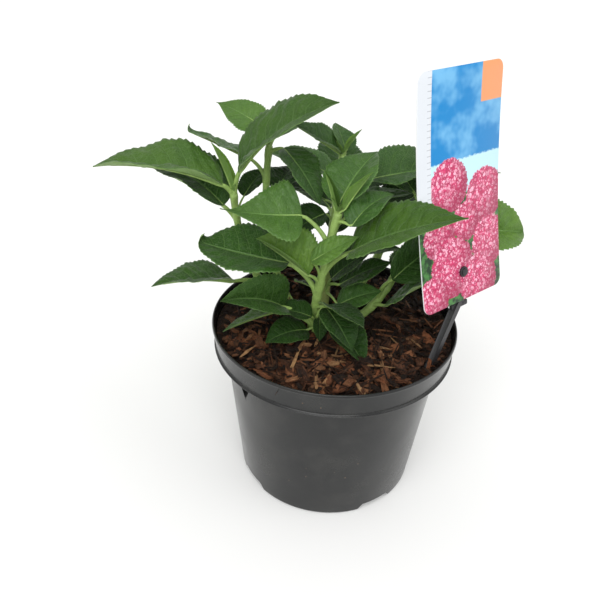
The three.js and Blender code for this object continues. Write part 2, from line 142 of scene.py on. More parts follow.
STEMS = {
    "front": stem((-16, -6), (-14, -15, 150), (-2, -20, 217), (6.6, 5), 0.28, [
        # This low front leaf carries painted shade: deep darkens its colour for the shade it lies in
        leaf(0.44, (32, -177, 52), (66, 174, 8), plump=0.82, droop=-4, sweep=-14, roll=-8, fold=14,
             hook=150, deep=0.7),
        leaf(0.53, (40, -33, 57), (80, -27, 31), plump=0.6, taper=1.25, droop=18, roll=22, age=0.5),
        # This young leaf is light green, and its colour is raised further as painted light on its left half,
        # which lies in the shade of the leaf above
        leaf(0.53, (18, -127, 48), (42, 157, 22), plump=1.08, droop=12, roll=-8, fold=50, age=0.95),
        leaf(0.56, (27, -115, 57), (34, 4, 33), plump=0.5, droop=10, roll=28, fold=10, age=0.55),
        leaf(0.8, (27, 168, 47), (52, -160, 10), plump=0.84, taper=2.1, droop=-20, sweep=12, roll=-34,
             fold=16, age=0.18),
        leaf(0.95, (11, 66, 76), (47, 58, 28), plump=0.79, sweep=-10, roll=-6, age=0.1),
        leaf(0.95, (13, -42, 8), (36, 40, 22), plump=0.7, droop=50, sweep=-10, roll=6),
    ]),
    "left": stem((-25, 6), (-72, 32, 140), (-71, 8, 213), (6.2, 4.6), 0.24, [
        leaf(0.36, (25, -147, 22), (58, -152, 7), plump=0.7, roll=10, age=0.1),
        leaf(0.72, (29, -153, 65), (71, 156, 13), droop=46, sweep=7),
        leaf(0.97, (14, -139, 54), (84, 182, 5), plump=0.62, droop=33, sweep=-5, fold=24, age=0.42),
        leaf(0.97, (23, -45, 71), (79, -9, 38), plump=0.6, droop=36, roll=20, age=0.28),
        leaf(0.99, (5, 180, 76), (32, 172, 66), **YOUNG),
    ]),
    "back_left": stem((-25, 20), (-60, 32, 150), (-50, 25, 240), (6, 4.4), 0.3, [
        wild(0.5, 100, 20, 48, -4),
        leaf(0.86, (18, 157, 45), (50, 171, 17), droop=11, sweep=-12, roll=17, fold=9, hook=130),
        leaf(0.97, (13, -23, 27), (45, -44, -37), sweep=-4, roll=-7, fold=15),
        leaf(0.98, (16, 145, 69), (38, 153, 14), taper=1.3, droop=13, sweep=8, roll=-27, fold=8, age=0.4),
        wild(0.98, 75, 10, 44, 4),
    ]),
    "right": stem((-4, 4), (45, 6, 132), (50, 20, 212), (6.4, 4.6), 0.31, [
        leaf(0.42, (26, -53, 61), (52, 37, 22), roll=45, fold=38),
        leaf(0.36, (12, -41, 26), (50, -14, 41), droop=10, roll=-10, fold=8),
        wild(0.5, 60, 16, 50, -6),
        wild(0.97, 28, 12, 46, 14),
        wild(0.97, 130, 10, 40, 22),
    ]),
    "middle": stem((-8, 8), (-8, 10, 165), (-2, 22, 238), (6, 4.4), 0.18, [
        leaf(0.3, (14, -40, 29), (40, 11, 25), sweep=7, fold=8),
        leaf(0.26, (18, -59, 0), (32, 0, 25), plump=0.73, roll=23, fold=10),
        leaf(0.6, (26, 14, 50), (38, 16, 14)),
        wild(0.4, 12, 14, 44, 8),
        leaf(0.78, (27, 2, 40), (61, 14, 6), plump=0.74, droop=12, sweep=5, roll=9),
        leaf(0.98, (4, 112, 48), (38, 189, 31), plump=0.71, droop=4, sweep=-6, roll=-9, fold=26),
        leaf(0.98, (6, 64, 32), (28, 110, 25), roll=19),
        leaf(0.99, (4, 0, 68), (18, 13, 56), **YOUNG),
    ]),
    "back_right": stem((-4, 17), (28, 36, 140), (40, 46, 196), (6, 4.4), 0.3, [
        wild(0.5, 70, 18, 54, 0),
        leaf(0.75, (38, 4, 21), (69, 16, -8), taper=0.7, droop=8, sweep=26, roll=48, fold=35, age=0.6),
        wild(0.97, 5, 15, 50, 10),
        wild(0.97, 82, 15, 50, 16),
    ]),
    "back": stem((-15, 18), (-10, 46, 145), (2, 62, 200), (6, 4.4), 0.3, [
        wild(0.45, 170, 18, 54, -6),
        wild(0.72, 115, 18, 58, 0),
        wild(0.97, 100, 14, 50, 12),
        wild(0.97, 176, 16, 50, 10),
    ]),
    "low": stem((-12, -15), (-12, -16, 126), (-13, -17, 134), (5, 4.4), 0.5, [
        leaf(0.8, (28, -164, 38), (51, -142, 22), plump=0.74, droop=40, sweep=-10, roll=-46, fold=46,
             age=0.1),
        leaf(0.7, (28, 176, 22), (40, -153, -12), droop=17, sweep=-7, roll=25, fold=14, age=0.5),
        leaf(0.7, (6, -147, 0), (35, -139, 4), droop=36, sweep=7, roll=-18, fold=14),
        leaf(0.8, (8, -24, 65), (17, -87, -34), roll=-12, fold=24),
        leaf(0.75, (13, 2, 13), (40, -55, -14), roll=7, fold=33),
    ]),
}

# Smaller leaves that fill the inside of the masses, each grown by the same rule
INNER_LEAVES = {
    "front": [
        leaf(0.3, (22, -61, 39), (34, -52, -28), plump=0.84, roll=-11, fold=16),
        leaf(0.32, (15, -128, 97), (24, 135, -11), plump=0.78, roll=18),
        leaf(0.98, (4, 170, 66), (25, 150, 68), **YOUNG),
        leaf(0.98, (7, -30, 51), (29, 5, 58), roll=5, **YOUNG),
    ],
    "middle": [
        leaf(0.66, (16, -123, 53), (30, -156, -28), plump=0.86, roll=-17),
        leaf(0.22, (28, -73, 60), (33, 4, 40), plump=0.8, roll=14),
    ],
    "right": [leaf(0.7, (15, 70, 32), (35, 60, 18), roll=-5)],
    "back_right": [
        leaf(0.72, (32, 150, 74), (34, -12, 24), plump=0.74, droop=10, roll=34),
        leaf(0.62, (25, 94, 31), (32, 106, 19), roll=-13),
        leaf(0.85, (17, 47, 30), (34, 38, -4)),
    ],
    "back_left": [leaf(0.72, (16, 62, 40), (38, 76, 6))],
    "left": [leaf(0.86, (15, 69, 49), (28, 60, 27))],
    "back": [
        leaf(0.5, (20, 68, 52), (36, 78, 8)),
        leaf(0.84, (14, -170, 40), (34, 160, 8)),
        leaf(0.75, (32, -16, 70), (34, 4, 20), plump=0.7, roll=26),
    ],
    "low": [
        leaf(0.75, (17, -104, 56), (26, 170, 2), plump=0.8, roll=-5),
        leaf(0.78, (23, -47, 68), (36, -44, 2), plump=0.82, roll=-22, fold=14),
    ],
}
for bough, more in INNER_LEAVES.items():
    STEMS[bough]["leaves"] += more
# Leaves inside the masses and low down lie in shade, painted into their colour: they are darkened unless they
# are young
for each in sum(INNER_LEAVES.values(), STEMS["low"]["leaves"]):
    each["deep"] = 1 - each["age"]

MIDRIB_STEPS = 24
OUTLINE_POWER = 0.57
STALK_RADIUS = 2.1
STALK_TIP_RADIUS = 1.3
STALK_RINGS, RIB_RINGS = 12, 14


def along(limb, t):
    return bend(limb["foot"], limb["knee"], limb["tip"], t)


def course_of(limb, t):
    return ((limb["knee"] - limb["foot"]) * (1 - t) + (limb["tip"] - limb["knee"]) * t).normalized()


def stem_radius(limb, t):
    return lerp(*limb["thick"], t) / 2


def outline(s, taper):
    """Half of a blade's width, from 0 to 1, along its midrib. A taper over 1 draws the tip out."""
    widest = OUTLINE_POWER / (OUTLINE_POWER + taper)
    return s ** OUTLINE_POWER * (1 - s) ** taper / (widest ** OUTLINE_POWER * (1 - widest) ** taper)


def midrib(each, foot):
    """The midrib as places with the frame that a blade hangs on."""
    length, heading, rise = each["blade"]
    here, places = foot.copy(), []
    for i in range(MIDRIB_STEPS + 1):
        s = i / MIDRIB_STEPS
        turn = heading + each["sweep"] * (s - 0.5)
        ahead = direction(turn, rise - each["droop"] * (s - 0.5) + each["hook"] * smooth(0.8, 1.0, s))
        level = direction(turn + 90, 0)
        up = ahead.cross(level)
        roll = math.radians(each["roll"])
        side = level * math.cos(roll) + up * math.sin(roll)
        face = up * math.cos(roll) - level * math.sin(roll)
        places.append((here.copy(), side, face))
        here += ahead * length / MIDRIB_STEPS
    return places


def on_midrib(places, s):
    """The midrib's frame at any place along it."""
    i = min(int(s * MIDRIB_STEPS), MIDRIB_STEPS - 1)
    share = s * MIDRIB_STEPS - i
    return [a.lerp(b, share) for a, b in zip(places[i], places[i + 1])]


def stalk_bend(each, root):
    """Where a leaf's stalk meets its blade, and the point that bends the stalk up on its way there."""
    length, heading, lift = each["stalk"]
    foot = root + direction(heading, lift) * length
    return foot, root + direction(heading, min(lift + 24, 88)) * length * 0.5


def laid_out(limb, each):
    """A leaf's root on its stem and the places along its midrib."""
    root = along(limb, each["at"])
    return root, midrib(each, stalk_bend(each, root)[0])


# ---------------- mesh helpers


def mesh_of(name, bm):
    """Turns a finished bmesh into a mesh."""
    mesh = bpy.data.meshes.new(name)
    bm.to_mesh(mesh)
    bm.free()
    return mesh


def placed(name, data):
    """A new object in the scene."""
    made = bpy.data.objects.new(name, data)
    bpy.context.scene.collection.objects.link(made)
    return made


def toned_bmesh(uv=None):
    """An empty bmesh with its colour layer, and with a map where one is named."""
    bm = bmesh.new()
    bm.verts.layers.float_color.new("Tone")
    if uv:
        bm.loops.layers.uv.new(uv)
    return bm


def write_map(bm, name, spot_of):
    """Adds a map whose values follow from each corner's face and place."""
    uv = bm.loops.layers.uv.new(name)
    for face in bm.faces:
        for loop in face.loops:
            loop[uv].uv = spot_of(face, loop.vert.co)


def turn_by(angle, axis="Z"):
    return Matrix.Rotation(math.radians(angle), 4, axis)


def span(edge, axis):
    return abs(edge.verts[0].co[axis] - edge.verts[1].co[axis])


def bevel(bm, edges, offset, segments):
    bmesh.ops.bevel(bm, geom=list(edges), offset=offset * MM, affect="EDGES", segments=segments,
                    profile=0.5, material=-1)


def cone(bm, sides, low, high, depth, matrix):
    """A closed cone by its radii and depth in millimetres."""
    return bmesh.ops.create_cone(bm, cap_ends=True, segments=sides, radius1=low * MM, radius2=high * MM,
                                 depth=depth * MM, matrix=matrix)["verts"]


def tube(points, radii, sides, courses=None, swell=None):
    """A round limb through the points: a cone subdivided into rings, each set square to its course."""
    steps = len(points) - 1
    bm = bmesh.new()
    bmesh.ops.create_cone(bm, cap_ends=True, segments=sides, radius1=1, radius2=1, depth=1)
    uprights = [e for e in bm.edges if span(e, 2) > 0.5]
    bmesh.ops.subdivide_edges(bm, edges=uprights, cuts=steps - 1, use_grid_fill=False)
    frames, across = [], Vector((0, 1, 0))
    for i, here in enumerate(points):
        chord = points[min(i + 1, steps)] - points[max(i - 1, 0)]
        ahead = (courses[i] if courses else chord).normalized()
        across = (across - ahead * across.dot(ahead)).normalized()
        frames.append((here, across, ahead.cross(across), radii[i]))
    for v in bm.verts:
        ring = round((v.co.z + 0.5) * steps)
        here, x_way, y_way, radius = frames[ring]
        angle = math.atan2(v.co.y, v.co.x)
        if swell:
            radius += swell(ring, angle)
        v.co = (here + (x_way * math.cos(angle) + y_way * math.sin(angle)) * radius) * MM
    return bm


def add_part(bm, part, tone_of=None):
    """Puts a finished part in the mesh, with its colours where the part has some."""
    if tone_of:
        tone = part.verts.layers.float_color.new("Tone")
        for v in part.verts:
            v[tone] = tone_of(v.co / MM)
    mesh = mesh_of("part", part)
    bm.from_mesh(mesh)
    bpy.data.meshes.remove(mesh)


def finish_mesh(name, bm, material, replaced=(), sharp=None):
    """Makes the piece from a bmesh, with its place in its mesh, and rides it on the one body."""
    mesh = mesh_of(name, bm)
    mesh.shade_smooth()
    if sharp:
        mesh.set_sharp_from_angle(angle=math.radians(sharp))
    mesh.materials.append(material)
    piece = placed(name, mesh)
    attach(piece, "root")
    if replaced:
        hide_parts(*replaced)


# ---------------- material helpers


class Nodes:
    """A short hand for laying nodes in a tree. A value is a plain number or colour, or a node's output."""

    def __init__(self, tree):
        self.tree = tree

    def add(self, kind, inputs=(), **settings):
        node = self.tree.nodes.new(kind)
        for key, value in settings.items():
            setattr(node, key, value)
        for key, value in dict(inputs).items():
            self.feed(value, node.inputs[key])
        return node

    def feed(self, value, socket):
        if isinstance(value, (int, float, tuple)):
            socket.default_value = value
        else:
            self.tree.links.new(value, socket)

    def math(self, operation, *values):
        return self.add("ShaderNodeMath", enumerate(values), operation=operation).outputs[0]

    def times(self, a, b, plus=0.0):
        return self.math("MULTIPLY_ADD", a, b, plus)

    def total(self, *terms):
        """The sum of values, each times its share."""
        whole = 0.0
        for value, share in terms:
            whole = self.times(value, share, whole)
        return whole

    def ramp(self, value, low, high, to_low=0.0, to_high=1.0):
        given = enumerate((value, low, high, to_low, to_high))
        return self.add("ShaderNodeMapRange", given, interpolation_type="SMOOTHSTEP").outputs[0]

    def mix(self, factor, a, b, blend="MIX"):
        given = {"Factor": factor, 6: a, 7: b}
        return self.add("ShaderNodeMix", given, data_type="RGBA", blend_type=blend).outputs[2]

    def lay(self, base, colour, mask, share):
        """Lays a colour over the base by a share of a mask."""
        return self.mix(self.times(mask, share), base, colour)

    def tint(self, colour, by):
        return self.mix(1.0, colour, rgba(by), "MULTIPLY")

    def noise(self, vector, scale, detail=3.0, roughness=0.55):
        given = {"Vector": vector, "Scale": scale, "Detail": detail, "Roughness": roughness}
        return self.add("ShaderNodeTexNoise", given).outputs["Fac"]

    def cells(self, vector, scale, feature="F1"):
        given = {"Vector": vector, "Scale": scale}
        return self.add("ShaderNodeTexVoronoi", given, feature=feature).outputs

    def vector(self, operation, a, b, output="Vector"):
        return self.add("ShaderNodeVectorMath", {0: a, 1: b}, operation=operation).outputs[output]

    def here(self):
        return self.add("ShaderNodeTexCoord").outputs["Object"]

    def tone(self, output="Color"):
        return self.add("ShaderNodeAttribute", attribute_name="Tone").outputs[output]

    def split(self, colour):
        return self.add("ShaderNodeSeparateColor", {0: colour}).outputs[:3]

    def uv(self, name):
        source = self.add("ShaderNodeUVMap", uv_map=name).outputs["UV"]
        return source, *self.add("ShaderNodeSeparateXYZ", {0: source}).outputs[:2]

    def group(self, tree, *values):
        return self.add("ShaderNodeGroup", enumerate(values), node_tree=tree).outputs[:]

    def surface(self, shader, colour, roughness, height, strength, distance):
        """Gives the shader its colour, its roughness and the bumps that a height makes."""
        given = {"Height": height, "Strength": strength, "Distance": distance}
        bump = self.add("ShaderNodeBump", given).outputs["Normal"]
        for label, value in (("Base Color", colour), ("Roughness", roughness), ("Normal", bump)):
            self.feed(value, shader.inputs[label])


def rgba(colour, by=1.0):
    """A colour with its alpha, lighter or darker by a factor."""
    return (*(c * by for c in colour[:3]), 1.0)


def new_material(name, settings):
    """A material with its Principled shader, whose plain numbers are set on the shader itself."""
    material = bpy.data.materials.new(name)
    material.use_nodes = True
    material.node_tree.nodes.clear()
    nodes = Nodes(material.node_tree)
    shader = nodes.add("ShaderNodeBsdfPrincipled", settings)
    nodes.add("ShaderNodeOutputMaterial", {"Surface": shader.outputs[0]})
    return material, nodes, shader


def mask_group(name, inputs, outputs, masks):
    """A node group that puts out masks, laid once for all the materials that use it."""
    tree = bpy.data.node_groups.get(name)
    if tree:
        return tree
    tree = bpy.data.node_groups.new(name, "ShaderNodeTree")
    for label, value in inputs.items():
        socket = tree.interface.new_socket(label, in_out="INPUT", socket_type="NodeSocketFloat")
        socket.default_value = value
    for label in outputs:
        tree.interface.new_socket(label, in_out="OUTPUT", socket_type="NodeSocketFloat")
    nodes = Nodes(tree)
    given = nodes.add("NodeGroupInput").outputs[:len(inputs)]
    nodes.add("NodeGroupOutput", zip(outputs, masks(nodes, *given)))
    return tree


def mottle_masks(nodes, *scales):
    place = nodes.here()
    return [nodes.ramp(nodes.noise(place, scale, 4.0, 0.5), 0.35, 0.68) for scale in scales]


def mottle_group():
    """Soft patches and fine specks, for leaves, stems, bark and plastic alike."""
    return mask_group("Mottle", {"Patch Scale": 60.0, "Speck Scale": 600.0}, ("Patch", "Speck"), mottle_masks)


# ---------------- leaves

BLADE_ROWS = 78
BLADE_COLUMNS = 20
TEETH = 19
TOOTH_DEPTH = 0.085
VEIN_PAIRS = 7
VEIN_SLANT = 0.26
VEIN_DRIFT = 0.013
BLADE_THICKNESS = 0.008
QUILT = 0.013
WAVE = 0.024
HALF_STEP = 0.37
# How the side veins curve, how their slant eases towards the tip, and the waves of their drift
VEIN_CURVE, SLANT_EASE, VEINED_SHARE = 1.35, 0.5, 0.9
DRIFT_ALONG, DRIFT_ACROSS = 17, 5
# How far a tooth leans back, how the tip narrows, how a folded half bulges, and the two finer waves
TOOTH_BACK, TIP_PINCH, FOLD_BULGE = 0.35, 0.1, 0.28
RUMPLE, CRINKLE = 1.8, 0.6


def vein_phase(s, v):
    """Whole numbers lie on the side veins, which leave the midrib in turn and curve towards the tip."""
    drift = VEIN_DRIFT * math.sin(s * DRIFT_ALONG + v * DRIFT_ACROSS)
    slant = VEIN_SLANT * abs(v) ** VEIN_CURVE * (1 - SLANT_EASE * s)
    return (s - slant + drift) * VEIN_PAIRS / VEINED_SHARE + (HALF_STEP if v > 0 else 0)


def blade_template():
    """A closed flat blade: X from foot to tip, Y from margin to margin, Z +1 above and -1 below."""
    bm = bmesh.new()
    bmesh.ops.create_grid(bm, x_segments=BLADE_ROWS, y_segments=BLADE_COLUMNS, size=1)
    top = bm.faces[:]
    under = bmesh.ops.duplicate(bm, geom=bm.verts[:] + bm.edges[:] + top)["geom"]
    under_faces = [g for g in under if isinstance(g, bmesh.types.BMFace)]
    bmesh.ops.reverse_faces(bm, faces=under_faces)
    for v in bm.verts:
        v.co = Vector(((v.co.x + 1) / 2, v.co.y, 1))
    for v in {v for face in under_faces for v in face.verts}:
        v.co.z = -1
    bmesh.ops.bridge_loops(bm, edges=[e for e in bm.edges if e.is_boundary])
    bmesh.ops.recalc_face_normals(bm, faces=bm.faces[:])
    write_map(bm, "Blade", lambda face, spot: (spot.x, spot.y * 0.5 + 0.5))
    return mesh_of("blade_template", bm)


def blade_place(each, places, s, v, w, length, quirk):
    """Where a point of the flat blade comes to lie on the grown leaf."""
    here, side, face = on_midrib(places, s)
    thick = length * BLADE_THICKNESS
    full = length * each["plump"] / 2
    reach = abs(v)
    toothed = smooth(0.04, 0.16, s) * smooth(1.0, 0.86, s) * smooth(0.7, 1.0, reach)
    bite = TOOTH_DEPTH * (s * TEETH % 1.0 - TOOTH_BACK) * toothed
    width = outline(s, each["taper"])
    half = max(width * (1 + bite - TIP_PINCH * smooth(0.8, 0.97, s)) * full, thick * 0.8)
    fold = math.radians(each["fold"])
    out = v * half * math.cos(fold)
    up = half * math.sin(fold) * ((1 + FOLD_BULGE) * reach - FOLD_BULGE * reach * reach)
    between_veins = math.sin(math.pi * vein_phase(s, v)) ** 2
    room = smooth(0.0, 0.3, reach) * smooth(1.02, 0.75, reach) * smooth(0, 0.1, s) * smooth(1.0, 0.8, s)
    up += length * QUILT * between_veins * room * min(1.0, width + 0.2)
    swing = math.sin(s * 9.0 + quirk * 6.3 + (1.7 if v > 0 else 0)) * smooth(0.5, 1.0, reach)
    rumple = noise.noise(Vector((s * 5.0, v * 1.8, quirk * 40.0))) * smooth(0.1, 0.5, reach)
    crinkle = noise.noise(Vector((s * 15.0, v * 5.0, quirk * 40.0 + 7.0))) * smooth(0.05, 0.3, reach)
    up += length * WAVE * (swing + RUMPLE * rumple + CRINKLE * crinkle) * width * (1 - 0.6 * each["age"])
    up += w * thick * 0.5 * (1 - 0.5 * smooth(0.6, 1.0, reach))
    return here + side * out + face * up


def grow_blade(bm, template, each, places, quirk):
    """Lays one leaf in the mesh and writes its age, its own tone raised by its painted shade, and its face
    into the colour layer.
    """
    before = len(bm.verts)
    bm.from_mesh(template)
    bm.verts.ensure_lookup_table()
    tone = bm.verts.layers.float_color["Tone"]
    length = each["blade"][0]
    for v in bm.verts[before:]:
        s, across, w = v.co
        v[tone] = (each["age"], max(quirk, each["deep"]), 0.5 - 0.5 * w, 1.0)
        v.co = blade_place(each, places, s, across, w, length, quirk) * MM


def stalk_course(each, root, places):
    """A stalk leaves its stem steeply, and runs on under the blade as its midrib."""
    foot, middle = stalk_bend(each, root)
    length = each["blade"][0]
    scale = min(1, length / 60)
    points, radii = [], []
    for i in range(STALK_RINGS):
        t = i / STALK_RINGS
        points.append(bend(root, middle, foot, t))
        radii.append(scale * (lerp(STALK_RADIUS, STALK_TIP_RADIUS, t) + 0.5 * smooth(0.3, 0.0, t)))
    for i in range(RIB_RINGS + 1):
        s = 0.04 + 0.82 * i / RIB_RINGS
        here, _, face = on_midrib(places, s)
        radius = scale * STALK_TIP_RADIUS * lerp(0.95, 0.16, (i / RIB_RINGS) ** 0.8)
        points.append(here - face * (length * BLADE_THICKNESS * 0.4 + radius * 0.35))
        radii.append(radius)
    return points, radii


# ---------------- settings


def colour_setting(name, description, *shade):
    return FloatVectorProperty(
        name=name, description=description, default=shade, subtype="COLOR", min=0, max=1)


class LeafSettings(bpy.types.PropertyGroup):
    top_colour: colour_setting("Upper face", "Colour of a full-grown leaf from above", 0.032, 0.098, 0.012)
    young_colour: colour_setting("Young leaf", "Colour of a young leaf from above", 0.12, 0.245, 0.03)
    under_colour: colour_setting("Underside", "Colour of a leaf from below", 0.27, 0.4, 0.15)
    vein_colour: colour_setting("Veins", "Colour of the veins seen from above", 0.15, 0.29, 0.07)


class StemSettings(bpy.types.PropertyGroup):
    green: colour_setting("Green", "Colour of stems and leaf stalks", 0.25, 0.38, 0.1)
    brown: colour_setting("Brown", "Colour at the foot of the oldest stems", 0.16, 0.11, 0.04)
    relief: FloatProperty(
        name="Relief", description="Height of the ridges on the stems",
        default=0.00022, unit="LENGTH", min=0, max=0.001)


class BarkSettings(bpy.types.PropertyGroup):
    dark: colour_setting("Dark bark", "Colour of the damp bark", 0.014, 0.0075, 0.005)
    fresh: colour_setting("Fresh bark", "Colour of the orange-brown chips", 0.27, 0.094, 0.038)
    pale: colour_setting("Splinters", "Colour of the pale splinters of wood", 0.42, 0.25, 0.12)
    chips: IntProperty(
        name="Chips", description="How many loose chips lie on the bed",
        default=2500, min=0, max=4000)


class PotSettings(bpy.types.PropertyGroup):
    colour: colour_setting("Plastic", "Colour of the pot", 0.006, 0.0065, 0.0065)
    height: FloatProperty(
        name="Height", description="Height of the pot's rim",
        default=0.1285, unit="LENGTH", min=0.05, max=0.4)
    rim_radius: FloatProperty(
        name="Rim radius", description="Half of the width across the rim",
        default=0.0855, unit="LENGTH", min=0.03, max=0.3)


class CardSettings(bpy.types.PropertyGroup):
    sky: colour_setting("Blue field", "Colour of the blue field at the top of the tag", 0.004, 0.21, 0.52)
    blossom: colour_setting("Pink motif", "Colour of the round pink motifs", 0.62, 0.035, 0.14)
    corner: colour_setting("Corner", "Colour of the blank corner patch", 0.78, 0.31, 0.13)


class StageSettings(bpy.types.PropertyGroup):
    floor: colour_setting("Floor", "Colour of the plain pale floor", 0.86, 0.86, 0.85)
    fill: FloatProperty(
        name="Fill light", description="Strength of the light from all round",
        default=0.8, min=0, max=5)
    key: FloatProperty(
        name="Key light", description="Strength of the wide soft light above",
        default=1.9, min=0, max=50)


# ---------------- materials of the plant


def vein_masks(nodes):
    """Masks of the midrib, the side veins, the net between them and the margin, from the blade's map. The
    margin's pale line is partly its own paler green and partly a painted highlight on its lit edge.
    """
    uv, s, y = nodes.uv("Blade")
    v = nodes.times(y, 2.0, -1.0)
    reach = nodes.math("ABSOLUTE", v)
    rib = nodes.ramp(reach, 0.05, 0.018)
    slant = nodes.times(nodes.math("POWER", reach, VEIN_CURVE), VEIN_SLANT)
    slant = nodes.times(slant, nodes.times(s, -SLANT_EASE, 1.0))
    swing = nodes.math("SINE", nodes.times(s, DRIFT_ALONG, nodes.times(v, DRIFT_ACROSS)))
    phase = nodes.times(swing, VEIN_DRIFT, nodes.math("SUBTRACT", s, slant))
    step = nodes.times(nodes.math("GREATER_THAN", v, 0.0), HALF_STEP)
    gap = nodes.math("PINGPONG", nodes.times(phase, VEIN_PAIRS / VEINED_SHARE, step), 0.5)
    width = nodes.times(reach, -0.04, 0.06)
    side = nodes.ramp(nodes.math("DIVIDE", gap, width), 1.0, 0.25)
    side = nodes.times(side, nodes.ramp(reach, 1.0, 0.7))
    net = nodes.cells(nodes.vector("MULTIPLY", uv, (30.0, 17.0, 1.0)), 1.0, "DISTANCE_TO_EDGE")
    return rib, side, nodes.ramp(net["Distance"], 0.09, 0.0), nodes.ramp(reach, 0.94, 0.99)


SHADE_TINT, SUN_TINT = (0.24, 0.31, 0.2), (1.55, 1.35, 1.15)
SHADED_VEIN, VEIN_BELOW = (0.06, 0.12, 0.03, 1), (0.33, 0.44, 0.2, 1)
LENTICEL, CORKY = (0.12, 0.17, 0.04, 1), (0.24, 0.2, 0.09, 1)


def leaf_material(colours):
    """A veined leaf, by its age, its own tone with its painted shade, and the face that shows, which its
    colour layer holds.
    """
    material, nodes, shader = new_material("hydrangea leaf", {
        "Sheen Weight": 0.03, "Sheen Roughness": 0.4,
    })
    rib, side, fine, margin = vein_masks(nodes)
    patch, speck = nodes.group(mottle_group(), 75.0, 900.0)
    # quirk holds each leaf's own random tone, raised where the leaf lies in painted shade
    age, quirk, below = nodes.split(nodes.tone())

    top = nodes.mix(age, rgba(colours.top_colour), rgba(colours.young_colour))
    deep = nodes.tint(top, SHADE_TINT)
    # Darker towards the shade tint for an old leaf and for painted shade inside the masses and low down; the
    # veins darken with it
    old_and_shaded = nodes.math("POWER", quirk, 2.6)
    nodes.feed(nodes.times(old_and_shaded, -0.22, 0.38), shader.inputs["Specular IOR Level"])
    top = nodes.lay(top, deep, old_and_shaded, 0.95)
    light = nodes.tint(top, SUN_TINT)
    vein = nodes.lay(rgba(colours.vein_colour), SHADED_VEIN, old_and_shaded, 0.75)
    # The margin gets a pale line: partly the margin's own paler green, partly a painted highlight where its
    # edge catches the light
    for colour, mask, share in ((light, patch, 0.5), (deep, speck, 0.18), (vein, fine, 0.26),
                                (vein, side, 0.5), (vein, rib, 0.75), (vein, margin, 0.6)):
        top = nodes.lay(top, colour, mask, share)

    under = nodes.lay(rgba(colours.under_colour), rgba(colours.under_colour, 0.8), patch, 0.3)
    under = nodes.lay(under, rgba(colours.young_colour), age, 0.8)
    ribbed = nodes.math("MAXIMUM", rib, nodes.times(side, 0.8))
    under = nodes.lay(under, VEIN_BELOW, ribbed, 0.5)
    colour = nodes.mix(nodes.ramp(below, 0.3, 0.7), top, under)
    gloss = nodes.times(below, 0.2, nodes.times(speck, 0.12, 0.33))
    ripple = nodes.noise(nodes.here(), 150.0, 2.0)
    height = nodes.total((fine, -0.3), (side, -0.55), (rib, -0.8), (speck, 0.12), (ripple, 1.5))
    nodes.surface(shader, colour, gloss, height, 0.7, 0.001)
    return material


def stem_material(colours):
    """A green stem with paler patches and small dark specks, browner by its colour layer."""
    material, nodes, shader = new_material("green stem", {"Specular IOR Level": 0.4})
    patch, speck = nodes.group(mottle_group(), 110.0, 1300.0)
    green = nodes.mix(patch, rgba(colours.green), rgba(colours.green, 1.25))
    green = nodes.lay(green, LENTICEL, speck, 0.35)
    aged = nodes.mix(patch, rgba(colours.brown), CORKY)
    colour = nodes.mix(nodes.tone("Fac"), green, aged)
    nodes.surface(shader, colour, nodes.times(speck, 0.2, 0.38), speck, 0.35, 0.0004)
    return material


# ---------------- operators


def kept_material(name, make, *args):
    return bpy.data.materials.get(name) or make(*args)


class GrowStems(bpy.types.Operator):
    """Grow each stem's bare limb out of the bark, with its ridges"""

    bl_idname = "hydrangea.grow_stems"
    bl_label = "Grow stems"

    def execute(self, context):
        settings = context.scene.hydrangea_stems
        material = kept_material("green stem", stem_material, settings)
        for name, limb in STEMS.items():
            bm = toned_bmesh()
            grow_limb(bm, limb, 0.0, limb["bare"], STEM_STEPS, settings.relief, ripe=name in RIPE_STEMS)
            finish_mesh(f"{name}_stem_bark", bm, material, [f"{name}_stem"])
        return {"FINISHED"}


RIPE_STEMS = ("middle", "back")
YOUNG_TONE = (0.0, 0.0, 0.0, 1.0)
SHOOT_OVERLAP = 0.004
STEM_STEPS, SHOOT_STEPS, STEM_SIDES, STALK_SIDES = 26, 60, 16, 10
NODE_SWELLING, NODE_LENGTH = 0.35, 0.018
RIPE_LEVEL, GREEN_LEVEL, BROWN_LEVEL = 135, 122, 112


def grow_limb(bm, limb, start, end, steps, relief, ripe=False):
    """A stretch of a stem with long ridges, a swelling at each leaf, and its age as tone."""
    spots = [lerp(start, end, i / steps) for i in range(steps + 1)]
    nodes_at = sorted({each["at"] for each in limb["leaves"]})

    def swell(i, angle):
        t = spots[i]
        rough = noise.noise(along(limb, t) * 0.35 + Vector((angle, 0, 0)))
        ridge = math.sin(angle * 3 + t * 5) * 0.5 + rough
        node = sum(math.exp(-((t - at) / NODE_LENGTH) ** 2) for at in nodes_at)
        return ridge * relief / MM + NODE_SWELLING * min(node, 1.2)

    def tone_of(spot):
        age = smooth(RIPE_LEVEL if ripe else GREEN_LEVEL, BROWN_LEVEL, spot.z) * 0.9
        age += 0.45 * smooth(240, 120, spot.z) if ripe else 0
        return (min(age, 1.0),) * 3 + (1.0,)

    part = tube([along(limb, t) for t in spots], [stem_radius(limb, t) for t in spots], STEM_SIDES,
                [course_of(limb, t) for t in spots], swell)
    add_part(bm, part, tone_of)


class GrowShoots(bpy.types.Operator):
    """Grow the leafy part of each stem and its leaf stalks"""

    bl_idname = "hydrangea.grow_shoots"
    bl_label = "Grow shoots and stalks"

    def execute(self, context):
        settings = context.scene.hydrangea_stems
        material = kept_material("green stem", stem_material, settings)
        for name, limb in STEMS.items():
            bm = toned_bmesh()
            start = limb["bare"] - SHOOT_OVERLAP
            grow_limb(bm, limb, start, 1.0, SHOOT_STEPS, settings.relief, ripe=name in RIPE_STEMS)
            for each in limb["leaves"]:
                points, radii = stalk_course(each, *laid_out(limb, each))
                add_part(bm, tube(points, radii, STALK_SIDES), lambda spot: YOUNG_TONE)
            finish_mesh(f"{name}_shoot_stalks", bm, material, [f"{name}_foliage"])
        return {"FINISHED"}


